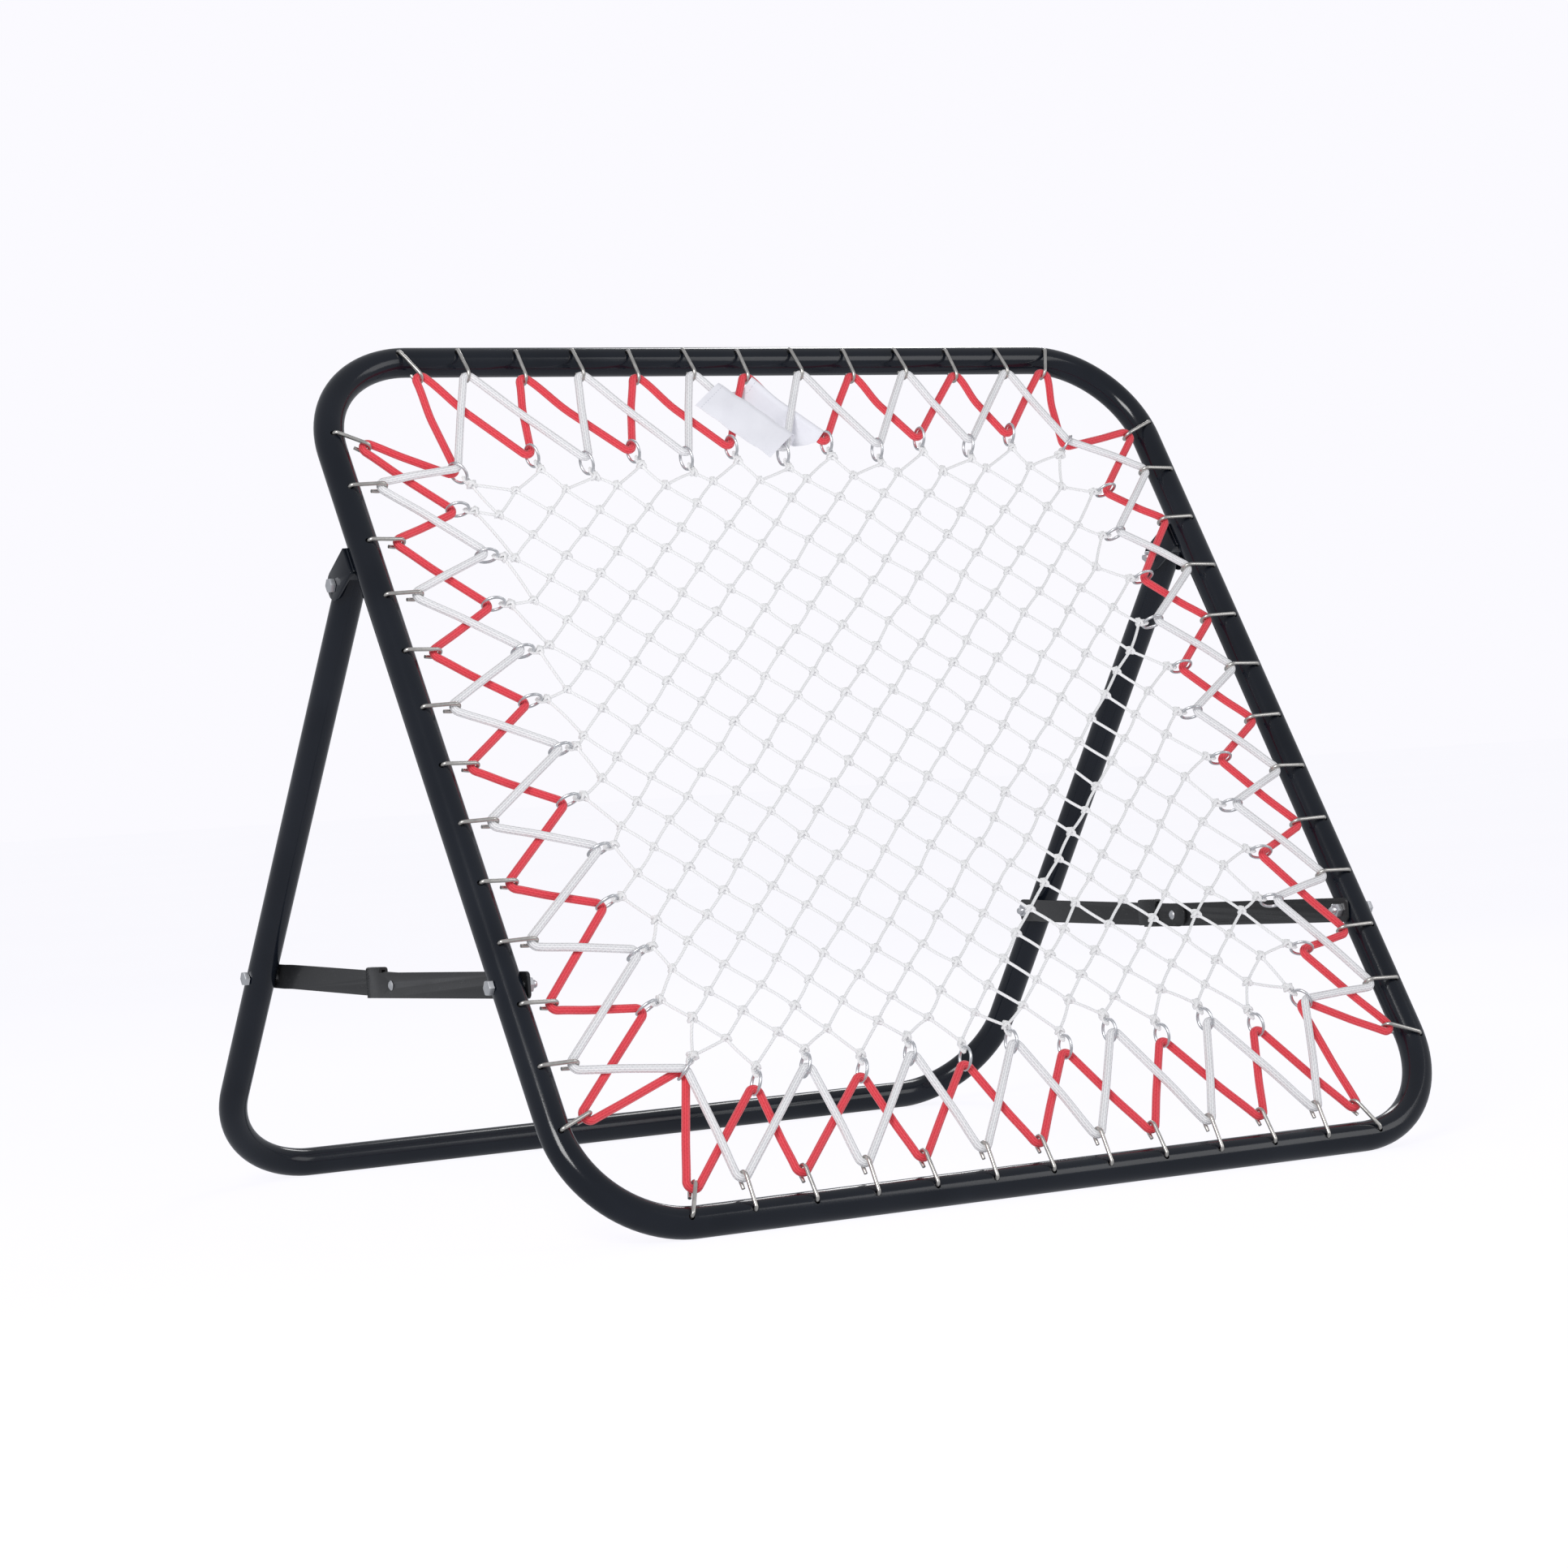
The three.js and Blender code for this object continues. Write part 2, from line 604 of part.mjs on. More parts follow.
// ------------------------------------------------------------------ rear leg
function rearLeg() {
  const x = axisX - LEG_BEND;
  const y = -LEG_LENGTH + LEG_BEND;
  const points = [
    new THREE.Vector3(-axisX, LEG_OVERRUN, 0),
    ...bend(new THREE.Vector3(-x, y, 0), LEG_BEND, Math.PI, 1.5 * Math.PI, BEND_STEPS),
    ...bend(new THREE.Vector3(x, y, 0), LEG_BEND, 1.5 * Math.PI, 2 * Math.PI, BEND_STEPS),
    new THREE.Vector3(axisX, LEG_OVERRUN, 0),
  ];
  const phase = -legAngle + Math.PI / TUBE_SIDES;
  let whole = solid(sweep(points, tubeR, TUBE_SIDES, phase, tubeR - LEG_WALL));
  for (const sign of [-1, 1]) {
    const x0 = sign * (axisX - 25);
    const x1 = sign * (axisX + 25);
    whole = whole.subtract(solid(bar(boreR, x0, x1, 0, 0)));
    whole = whole.subtract(solid(bar(boreR, x0, x1, -BRACE_ALONG_LEG, 0)));
  }
  return mesh('rear_leg', geometryOf(whole), tubeBlack);
}

// A moulded plug in the open end of the leg tube, with a low domed cap.
function legPlug(name, sign) {
  const boreRadius = (tubeR - LEG_WALL) * Math.cos(Math.PI / TUBE_SIDES) - CLEARANCE;
  const profile = [
    new THREE.Vector2(0, -8),
    new THREE.Vector2(boreRadius, -8),
    new THREE.Vector2(boreRadius, CLEARANCE),
    new THREE.Vector2(tubeR - 1, CLEARANCE),
    new THREE.Vector2(tubeR - 1, 1.5),
    new THREE.Vector2(tubeR * 0.6, 3.6),
    new THREE.Vector2(0, 4.2),
  ];
  const geometry = new THREE.LatheGeometry(profile, 12);
  geometry.translate(sign * axisX, LEG_OVERRUN, 0);
  return mesh(name, geometryOf(solid(geometry)), plugBlack);
}

// ------------------------------------------------------------------ net
const netMiddle = NET_STRANDS - 1;     // of the sum of two strand numbers
const twineR = TWINE * 0.6;            // of a three-sided section
const edgeSpan = RINGS_PER_SIDE + 2;   // from the middle knot row to the edge, in half meshes

// A knot is where falling strand p crosses rising strand q.
function inNet(p, q) {
  const inRange = p >= 0 && q >= 0 && p < NET_STRANDS && q < NET_STRANDS;
  return inRange && Math.abs(q - p) <= edgeSpan && Math.abs(p + q - netMiddle) <= edgeSpan;
}

// A place in the stretched net, from -1 to 1 across it and down it.
function netPoint(across, down) {
  const [topLeft, topRight, bottomRight, bottomLeft] = CORNERS;
  const share = (across + 1) / 2;
  const upper = topLeft.clone().lerp(topRight, share);
  const lower = bottomLeft.clone().lerp(bottomRight, share);
  return upper.lerp(lower, (down + 1) / 2);
}

function ringKnot(ring) {
  return ring.centre.clone().addScaledVector(ring.dir, -ringR);
}

function knot(p, q) {
  const across = p + q - netMiddle;
  const down = q - p;
  const middleRun = RINGS_PER_SIDE - 1;
  const ringOn = (s, steps) => RINGS.find((ring) => (
    ring.side === s && ring.index === (middleRun + steps) / 2
  ));
  if (down === -edgeSpan) {
    return ringKnot(ringOn(0, across));
  }
  if (across === edgeSpan) {
    return ringKnot(ringOn(1, down));
  }
  if (down === edgeSpan) {
    return ringKnot(ringOn(2, -across));
  }
  if (across === -edgeSpan) {
    return ringKnot(ringOn(3, -down));
  }
  return netPoint(across / edgeSpan, down / edgeSpan);
}

// One strand, straight between its outer knots and pulled out of line at each end by the rings.
function strand(knots) {
  const last = knots.length - 1;
  const stops = [0, 1, last - 1, last].filter((stop, i, all) => all.indexOf(stop) === i);
  return solid(sweep(stops.map((stop) => knots[stop]), twineR, TWINE_SIDES));
}

function ringSolid(ring) {
  const torus = new THREE.TorusGeometry(ringR, RING_WIRE / 2, 3, 7);
  // The ring stands across the net: its own plane holds the pull direction and the normal.
  const axis = new THREE.Vector3().crossVectors(ring.dir, new THREE.Vector3(0, 0, 1));
  const basis = new THREE.Matrix4().makeBasis(ring.dir, new THREE.Vector3(0, 0, 1), axis);
  basis.setPosition(ring.centre);
  return solid(torus, basis);
}

function net() {
  const pieces = [];
  for (let line = 0; line < NET_STRANDS; line += 1) {
    const falling = [];
    const rising = [];
    for (let at = 0; at < NET_STRANDS; at += 1) {
      if (inNet(line, at)) {
        falling.push(knot(line, at));
      }
      if (inNet(at, line)) {
        rising.push(knot(at, line));
      }
    }
    pieces.push(strand(falling), strand(rising));
  }
  // At each corner the last knots are tied to the corner ring.
  const last = NET_STRANDS - 1;
  const middle = Math.floor(netMiddle / 2);
  const ties = [
    [knot(middle, 0), knot(middle + 1, 0)],
    [knot(last, middle), knot(last, middle + 1)],
    [knot(middle, last), knot(middle + 1, last)],
    [knot(0, middle), knot(0, middle + 1)],
  ];
  for (const ring of RINGS.filter((each) => each.corner !== undefined)) {
    const end = ringKnot(ring);
    for (const point of ties[ring.corner]) {
      pieces.push(solid(sweep([point, end], twineR, TWINE_SIDES)));
    }
  }
  pieces.push(...RINGS.map(ringSolid));
  return mesh('net', geometryOf(joined(pieces)), whiteTwine);
}

// ------------------------------------------------------------------ elastic cords
// The cord's way round one post: the wire of a hook or of a ring.
function wrap(post, before, after, radius, offset) {
  const dir = pull(post, before, after);
  const points = [];
  const turn = Math.sign(
    (before.x - post.x) * (after.y - post.y) - (before.y - post.y) * (after.x - post.x),
  );
  for (const degrees of [58, 0, -58]) {
    const arm = dir.clone().negate().applyAxisAngle(new THREE.Vector3(0, 0, 1), turn * degrees * RAD);
    const point = post.clone().addScaledVector(arm, radius);
    point.z += offset;
    points.push(point);
  }
  return points;
}

// All posts of one cord, clockwise from the top left corner ring. "first" is 0 for the cord on
// the odd hooks and 1 for the cord on the even hooks.
function posts(first) {
  const list = [];
  SIDES.forEach((side, s) => {
    const corner = RINGS.find((ring) => ring.corner === s);
    list.push({ kind: 'corner', at: ringPost(corner) });
    for (let i = first; i < HOOKS_PER_SIDE; i += 2) {
      list.push({ kind: 'hook', at: hookPost(side, i) });
      if (i < RINGS_PER_SIDE) {
        list.push({ kind: 'ring', at: ringPost(RINGS.find((ring) => ring.side === s && ring.index === i)) });
      }
    }
  });
  return list.filter((post, i, all) => post.kind !== 'ring' || all[i + 1]?.kind === 'hook');
}

function ringPost(ring) {
  return ring.centre.clone().addScaledVector(ring.dir, ringR);
}

function elasticCord(name, first, level, material) {
  const list = posts(first);
  const points = [];
  const cornerLevel = level * CORNER_LEVEL;
  list.forEach((post, i) => {
    const before = list[(i + list.length - 1) % list.length].at;
    const after = list[(i + 1) % list.length].at;
    const wire = post.kind === 'hook' ? HOOK_WIRE / 2 : RING_WIRE / 2;
    const deeper = post.kind === 'corner' ? CORNER_DEPTH : 0;
    const radius = wire + CORD_D / 2 + 6 * CLEARANCE + deeper;
    points.push(...wrap(post.at, before, after, radius, post.kind === 'corner' ? cornerLevel : 0));
    const middle = post.at.clone().add(after).multiplyScalar(0.5);
    middle.z += level * CORD_CROSSING;
    points.push(middle);
  });
  // The two ends meet half way along the last arm.
  const join = points[points.length - 1];
  const towards = points[0].clone().sub(join).normalize();
  points.unshift(join.clone().addScaledVector(towards, CLEARANCE * 2));
  return mesh(name, solidSweep(points, CORD_D / 2, CORD_SIDES), material);
}

function solidSweep(points, radius, sides) {
  return geometryOf(solid(sweep(points, radius, sides, Math.PI / 4)));
}

// ------------------------------------------------------------------ cloth label
// A blank strip of cloth folded round two neighbouring lengths of elastic.
function label() {
  const top = SIDES[0];
  const start = hookPost(top, 6);
  const end = ringPost(RINGS.find((ring) => ring.side === 0 && ring.index === 6));
  const along = end.clone().sub(start).normalize();
  const across = new THREE.Vector3(-along.y, along.x, 0);
  const gap = (hookAlong(top, 6) - hookAlong(top, 5)) * Math.abs(across.x);
  // Room past each cord, and behind the place where two cords cross.
  const room = CORD_D / 2 + 3;
  const depth = CORD_CROSSING + CORD_D / 2 + 2;
  const path = [
    [-room, -depth + 2], [-room + 3, -depth], [gap + room - 3, -depth], [gap + room, -depth + 2],
  ].map(([x, y]) => new THREE.Vector2(x, y));
  const outline = ribbonOutline(path, LABEL_WALL / 2);
  const strip = new THREE.ExtrudeGeometry(new THREE.Shape(outline), { depth: LABEL_LENGTH, bevelEnabled: false });
  const basis = new THREE.Matrix4().makeBasis(across.clone().negate(), new THREE.Vector3(0, 0, 1), along);
  basis.setPosition(start.clone().addScaledVector(along, LABEL_START));
  return mesh('net_label', placed(strip, basis), labelWhite);
}

// The two edges of a thin ribbon along a bent line.
function ribbonOutline(path, halfWall) {
  const left = [];
  const right = [];
  path.forEach((point, i) => {
    const before = path[Math.max(i - 1, 0)];
    const after = path[Math.min(i + 1, path.length - 1)];
    const incoming = point.clone().sub(before).normalize();
    const outgoing = after.clone().sub(point).normalize();
    const tangent = incoming.add(outgoing).normalize();
    const normal = new THREE.Vector2(-tangent.y, tangent.x);
    left.push(point.clone().addScaledVector(normal, halfWall));
    right.unshift(point.clone().addScaledVector(normal, -halfWall));
  });
  return [...left, ...right];
}

// ------------------------------------------------------------------ assembly
const frameSpace = new THREE.Group();
frameSpace.rotation.x = lean;

frameSpace.add(frontFrame());
frameSpace.add(net());
frameSpace.add(elasticCord('elastic_cord_red', 0, -1, redCord));
frameSpace.add(elasticCord('elastic_cord_white', 1, 1, whiteCord));
frameSpace.add(label());

const legSpace = new THREE.Group();
legSpace.position.set(0, PIVOT_UP, -PIVOT_BACK);
legSpace.rotation.x = legSpread;
legSpace.add(rearLeg());
frameSpace.add(legSpace);

const frontLinkSpace = new THREE.Group();
frontLinkSpace.position.copy(frontBolt);
frontLinkSpace.rotation.x = angleOf(frontBolt, rivet);
frameSpace.add(frontLinkSpace);

const rearLinkSpace = new THREE.Group();
rearLinkSpace.position.copy(rearBolt);
rearLinkSpace.rotation.x = angleOf(rearBolt, rivet);
frameSpace.add(rearLinkSpace);

const tubeOutside = axisX + tubeR + CLEARANCE;
const cheekOutside = axisX + tubeR + 3 * CLEARANCE + BRACKET_PLATE;
const cheekInside = axisX - tubeR - 3 * CLEARANCE - BRACKET_PLATE;
const nutFace = rearLinkOuter;

for (const [end, sign] of [['left', -1], ['right', 1]]) {
  frameSpace.add(bracket(`hinge_bracket_${end}`, sign));
  const hingeTip = cheekInside - NUT_HEIGHT - THREAD_END;
  frameSpace.add(bolt(`hinge_bolt_${end}`, sign, cheekOutside, hingeTip, PIVOT_UP, -PIVOT_BACK));
  frameSpace.add(nut(`hinge_nut_${end}`, sign, cheekInside, PIVOT_UP, -PIVOT_BACK));

  const braceTip = nutFace - NUT_HEIGHT - THREAD_END;
  frameSpace.add(bolt(`brace_front_bolt_${end}`, sign, tubeOutside, braceTip, BRACE_FRONT_UP, 0));
  frameSpace.add(nut(`brace_front_nut_${end}`, sign, nutFace, BRACE_FRONT_UP, 0));

  legSpace.add(legPlug(`leg_end_plug_${end}`, sign));
  const innerWall = axisX - tubeR + CLEARANCE;
  legSpace.add(bolt(`brace_rear_bolt_${end}`, sign, tubeOutside, innerWall, -BRACE_ALONG_LEG, 0));

  frontLinkSpace.add(frontLink(`brace_front_link_${end}`, sign));
  rearLinkSpace.add(rearLink(`brace_rear_link_${end}`, sign));
  const threadIn = axisX - tubeR - CLEARANCE;
  rearLinkSpace.add(nutWithThread(`brace_rear_nut_${end}`, sign, nutFace, threadIn, 0, 0));
  frameSpace.add(rivetPin(`brace_rivet_${end}`, sign));
}

// The origin lies on the ground under the middle of the whole object.
const rebounder = new THREE.Group();
rebounder.name = 'pitch_back_rebounder';
rebounder.add(frameSpace);
rebounder.updateMatrixWorld(true);
const box = new THREE.Box3().setFromObject(rebounder, true);
frameSpace.position.set(0, -(box.min.y + box.max.y) / 2, apothem);
rebounder.updateMatrixWorld(true);

export default rebounder;
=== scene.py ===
# %% [markdown]
# # A pitch back rebounder
# The steel parts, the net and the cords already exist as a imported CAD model. This lesson loads
# that model, keeps its places, and makes each piece again with the roundness, the knots, the
# weave and the paint that the real thing has.

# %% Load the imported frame
import json
import math
import random

import bmesh
import bpy
from mathutils import Matrix, Vector


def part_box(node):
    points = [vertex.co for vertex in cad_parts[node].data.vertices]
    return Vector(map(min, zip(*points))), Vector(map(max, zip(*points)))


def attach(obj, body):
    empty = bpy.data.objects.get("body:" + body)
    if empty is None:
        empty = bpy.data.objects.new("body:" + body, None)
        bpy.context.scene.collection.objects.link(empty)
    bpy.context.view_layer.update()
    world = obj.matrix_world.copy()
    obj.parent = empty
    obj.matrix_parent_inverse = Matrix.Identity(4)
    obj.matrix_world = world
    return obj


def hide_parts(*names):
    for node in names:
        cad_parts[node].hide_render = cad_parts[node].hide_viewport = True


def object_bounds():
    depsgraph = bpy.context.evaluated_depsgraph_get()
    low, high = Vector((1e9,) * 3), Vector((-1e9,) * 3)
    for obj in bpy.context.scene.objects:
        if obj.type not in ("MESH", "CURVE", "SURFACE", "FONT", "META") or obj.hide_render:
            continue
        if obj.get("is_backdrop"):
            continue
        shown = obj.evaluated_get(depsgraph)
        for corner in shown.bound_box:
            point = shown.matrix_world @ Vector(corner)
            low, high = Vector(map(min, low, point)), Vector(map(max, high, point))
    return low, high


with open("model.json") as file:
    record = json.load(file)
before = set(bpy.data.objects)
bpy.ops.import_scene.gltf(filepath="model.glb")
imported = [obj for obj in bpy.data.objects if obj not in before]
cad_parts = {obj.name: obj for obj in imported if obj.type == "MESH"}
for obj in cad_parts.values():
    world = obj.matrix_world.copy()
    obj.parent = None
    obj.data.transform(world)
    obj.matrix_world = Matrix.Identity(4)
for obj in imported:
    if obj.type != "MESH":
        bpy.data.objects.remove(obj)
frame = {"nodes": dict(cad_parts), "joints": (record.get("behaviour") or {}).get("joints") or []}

cad_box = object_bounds()
print("CAD box", [tuple(round(value, 3) for value in corner) for corner in cad_box])

# %% [markdown]
# ## Places
# The front frame leans back. It is easiest to think of it lying flat: X to the right, Y up the
# slope from the bottom tube and Z out of the front. One matrix brings that flat drawing to its
# place. The boxes of the CAD nodes and the hinge joint say where that is.

# %% Flat drawing to leaning frame
TUBE_D = 0.030
SIZE = 1.000
LEAN = math.radians(58.4)
CAD_SIDES = 12
AXIS_X = SIZE / 2 - TUBE_D / 2
TOP = SIZE - TUBE_D
joints = {joint["name"]: joint for joint in frame["joints"]}
pivot = Vector(joints["leg_fold"]["pos_m"])
frame_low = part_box("front_frame")[0]
leg_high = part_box("rear_leg")[1]
# the CAD tubes stand on a flat side, so their axes are a little lower than half a diameter
axis_height = TUBE_D / 2 * math.cos(math.pi / CAD_SIDES)
foot_front = Vector((0, frame_low.y + TUBE_D / 2, axis_height))
foot_rear = Vector((0, leg_high.y - TUBE_D / 2, axis_height))
slope = Matrix.Translation(foot_front) @ Matrix.Rotation(LEAN, 4, "X")
print("bottom tube axis", foot_front, "leg bottom axis", foot_rear, "pivot", pivot)

# %% [markdown]
# ## Camera and light
# A long lens from the front left, level with the middle of the frame. Large soft lamps give the
# glossy tubes their long highlights. The room has two backgrounds: a white one that the camera
# sees, and a dimmer one that lights the object, so that the paint stays deep.

# %% Camera
LENS = 89.96
SENSOR_WIDTH = 36
CAMERA_PLACE = (-2.0291, -3.5184, 0.4340)
CAMERA_DEGREES = (89.4454, 3.4534, -29.9175)
camera_data = bpy.data.cameras.new("camera")
camera_data.lens = LENS
camera_data.sensor_width = SENSOR_WIDTH
camera = bpy.data.objects.new("camera", camera_data)
camera.location = CAMERA_PLACE
camera.rotation_euler = [math.radians(turn) for turn in CAMERA_DEGREES]
bpy.context.collection.objects.link(camera)
bpy.context.scene.camera = camera
bpy.context.scene.view_settings.view_transform = "Standard"
print("camera at", CAMERA_PLACE, "with a lens of", LENS, "mm")

# %% Lamps
MIDDLE = Vector((0, 0, 0.4))
# name, place, width and height in metres, watts
LAMPS = [
    ("key_lamp", (-2.6, -2.6, 2.2), (1.2, 1.6), 74),
    ("fill_lamp", (2.6, -3.0, 1.8), (1.8, 2.0), 20),
    ("rim_lamp", (1.6, 1.9, 2.4), (0.4, 1.6), 12),
]
for name, place, size, power in LAMPS:
    data = bpy.data.lights.new(name, "AREA")
    data.shape = "RECTANGLE"
    data.size, data.size_y = size
    data.energy = power
    made = bpy.data.objects.new(name, data)
    made.location = place
    made.rotation_euler = (MIDDLE - Vector(place)).to_track_quat("-Z", "Y").to_euler()
    bpy.context.collection.objects.link(made)
    print(name, power, "W")

# %% The white room
BACKDROP = (0.965, 0.957, 1.0, 1)
ROOM_LIGHT = (0.93, 0.95, 1.0, 1)
ROOM_STRENGTH = 0.42
room = bpy.data.worlds.new("white_room")
room.use_nodes = True
bpy.context.scene.world = room
nodes, links = room.node_tree.nodes, room.node_tree.links
nodes.clear()
seen = nodes.new("ShaderNodeBackground")
seen.inputs["Color"].default_value = BACKDROP
seen.inputs["Strength"].default_value = 1.0
soft = nodes.new("ShaderNodeBackground")
soft.inputs["Color"].default_value = ROOM_LIGHT
soft.inputs["Strength"].default_value = ROOM_STRENGTH
path = nodes.new("ShaderNodeLightPath")
mixed = nodes.new("ShaderNodeMixShader")
links.new(path.outputs["Is Camera Ray"], mixed.inputs["Fac"])
links.new(soft.outputs["Background"], mixed.inputs[1])
links.new(seen.outputs["Background"], mixed.inputs[2])
links.new(mixed.outputs["Shader"], nodes.new("ShaderNodeOutputWorld").inputs["Surface"])
print("room light", ROOM_STRENGTH)

# %% [markdown]
# ## A small language for finishes
# A finish is a tree of shader nodes. `Wire` wraps one socket, so that `1 - mask * 0.5` adds its
# Math nodes by itself, and `Finish.node` adds any other node.

# %% Wires and finishes
class Wire:
    """One output socket, ready for arithmetic."""

    def __init__(self, finish, socket):
        self.finish = finish
        self.socket = socket

    def math(self, operation, *values):
        """A Math node on these values, or on this wire alone."""
        sockets = dict(enumerate(values or (self,)))
        return self.finish.node("ShaderNodeMath", {"operation": operation}, sockets)

    def __add__(self, other):
        return self.math("ADD", self, other)

    def __radd__(self, other):
        return self.math("ADD", other, self)

    def __sub__(self, other):
        return self.math("SUBTRACT", self, other)

    def __rsub__(self, other):
        return self.math("SUBTRACT", other, self)

    def __mul__(self, other):
        return self.math("MULTIPLY", self, other)

    def __rmul__(self, other):
        return self.math("MULTIPLY", other, self)


class Finish:
    """A material with one Principled shader."""

    def __init__(self, name, **constants):
        self.material = bpy.data.materials.new(name)
        self.material.use_nodes = True
        self.tree = self.material.node_tree
        self.tree.nodes.clear()
        self.shader = self.tree.nodes.new("ShaderNodeBsdfPrincipled")
        output = self.tree.nodes.new("ShaderNodeOutputMaterial")
        self.tree.links.new(self.shader.outputs["BSDF"], output.inputs["Surface"])
        for socket, value in constants.items():
            self.shader.inputs[socket.replace("_", " ")].default_value = value

    def node(self, kind, settings=None, sockets=None, out=0):
        made = self.tree.nodes.new(kind)
        for key, value in (settings or {}).items():
            setattr(made, key, value)
        for key, value in (sockets or {}).items():
            if isinstance(value, Wire):
                self.tree.links.new(value.socket, made.inputs[key])
            else:
                made.inputs[key].default_value = value
        return Wire(self, made.outputs[out])

    def place(self):
        return self.node("ShaderNodeTexCoord", out="Object")

    def along(self):
        """U once round the piece, and V in metres along it."""
        split = self.node("ShaderNodeSeparateXYZ", None, {0: self.node("ShaderNodeUVMap")})
        return split, Wire(self, split.socket.node.outputs["Y"])

    def noise(self, scale, detail, at=None):
        sockets = {"Vector": at or self.place(), "Scale": scale, "Detail": detail}
        return self.node("ShaderNodeTexNoise", None, sockets)

    def between(self, share, first, second):
        """A colour between two colours."""
        settings = {"data_type": "RGBA"}
        return self.node("ShaderNodeMix", settings, {0: share, 6: first, 7: second}, out=2)

    def range(self, value, low, high, to_low, to_high):
        sockets = {0: value, 1: low, 2: high, 3: to_low, 4: to_high}
        return self.node("ShaderNodeMapRange", None, sockets)

    def bump(self, height, strength, distance):
        sockets = {"Height": height, "Strength": strength, "Distance": distance}
        self.put("Normal", self.node("ShaderNodeBump", None, sockets))

    def put(self, socket, wire):
        self.tree.links.new(wire.socket, self.shader.inputs[socket])


def grey(value):
    return (value, value, value, 1)


# %% [markdown]
# ## Paint, plate and plastic
# The tubes have a gloss powder coat, nearly black with a little blue. Such paint flows out to a
# faint orange peel. The flat braces have a thinner charcoal paint with scuffs, and the hooks,
# rings and bolts are plated: satin nickel on the hooks and bright zinc on the rest.

# %% Powder coat
DEEP_BLACK = (0.0030, 0.0045, 0.0080, 1)
BLUE_BLACK = (0.0075, 0.0105, 0.0175, 1)


def powder_coat(name):
    coat = Finish(name, IOR=1.4, Coat_Roughness=0.05)
    cloud = coat.noise(9, 3)
    coat.put("Base Color", coat.between(cloud, DEEP_BLACK, BLUE_BLACK))
    speck = coat.noise(700, 2)
    coat.put("Roughness", coat.range(cloud + speck * 0.25, 0.4, 0.9, 0.13, 0.22))
    coat.put("Coat Weight", coat.range(cloud, 0.3, 0.7, 0.12, 0.26))
    coat.bump(speck, 0.12, 0.0003)
    return coat.material


frame_paint = powder_coat("frame_powder_coat")
leg_paint = powder_coat("leg_powder_coat")
bracket_paint = powder_coat("bracket_powder_coat")
print("powder coat on frame, leg and brackets")

# %% Brace paint with scuffs
CHARCOAL = (0.008, 0.0085, 0.0095, 1)
PALE_CHARCOAL = (0.019, 0.0195, 0.021, 1)
BARE_SCRATCH = (0.13, 0.13, 0.135, 1)
SCRATCH_STRETCH = (30, 24, 90)


def scuffed_paint():
    paint = Finish("brace_paint", IOR=1.48, Coat_Weight=0.2, Coat_Roughness=0.1)
    cloud = paint.noise(14, 4)
    sockets = {"Vector": paint.place(), "Scale": SCRATCH_STRETCH}
    stretched = paint.node("ShaderNodeMapping", None, sockets)
    scratch = paint.range(paint.noise(6, 5, stretched), 0.6, 0.78, 0.0, 1.0)
    dark = paint.between(cloud, CHARCOAL, PALE_CHARCOAL)
    paint.put("Base Color", paint.between(scratch * 0.22, dark, BARE_SCRATCH))
    paint.put("Roughness", paint.range(cloud + scratch * 0.2, 0.2, 0.9, 0.18, 0.5))
    paint.bump(paint.noise(420, 3), 0.2, 0.0003)
    return paint.material


brace_paint = scuffed_paint()
print("scuffed paint on the braces")

# %% Plated steel
NICKEL_LIGHT = (0.80, 0.78, 0.74, 1)
NICKEL_DARK = (0.56, 0.54, 0.51, 1)
ZINC_LIGHT = (0.93, 0.94, 0.96, 1)
ZINC_DARK = (0.74, 0.75, 0.78, 1)


def plate(name, light, dark, rough, scale):
    metal = Finish(name, Metallic=1.0)
    cloud = metal.noise(scale, 4)
    metal.put("Base Color", metal.between(cloud, dark, light))
    metal.put("Roughness", metal.range(cloud, 0.25, 0.75, rough[0], rough[1]))
    metal.bump(metal.noise(scale * 6, 3), 0.15, 0.0002)
    return metal.material


nickel = plate("satin_nickel", NICKEL_LIGHT, NICKEL_DARK, (0.26, 0.42), 160)
zinc = plate("bright_zinc", ZINC_LIGHT, ZINC_DARK, (0.30, 0.46), 190)
print("nickel on the hooks, zinc on the rings and bolts")


# %% Moulded plastic
def moulded_plastic():
    plastic = Finish("moulded_plastic", IOR=1.46)
    grain = plastic.noise(900, 3)
    plastic.put("Base Color", plastic.between(grain, grey(0.010), grey(0.022)))
    plastic.put("Roughness", plastic.range(grain, 0.3, 0.7, 0.42, 0.6))
    plastic.bump(grain, 0.25, 0.0002)
    return plastic.material


plug_plastic = moulded_plastic()
print("moulded plastic on the plugs")

# %% [markdown]
# ## Cord, twine and cloth
# The cords are rubber in a braided sheath. Two families of yarns cross each other, so the sheath
# shows fine ribs along the cord. The patterns follow each piece's own UV map: U runs once round
# it and V along it in metres.

# %% Braided sheath
TAU = 2 * math.pi
YARNS_ROUND = 5
YARN_PITCH = 0.005
RED = (0.88, 0.066, 0.090, 1)
RED_SHADE = (0.60, 0.025, 0.040, 1)
WHITE = (0.93, 0.93, 0.93, 1)
WHITE_SHADE = (0.58, 0.58, 0.60, 1)


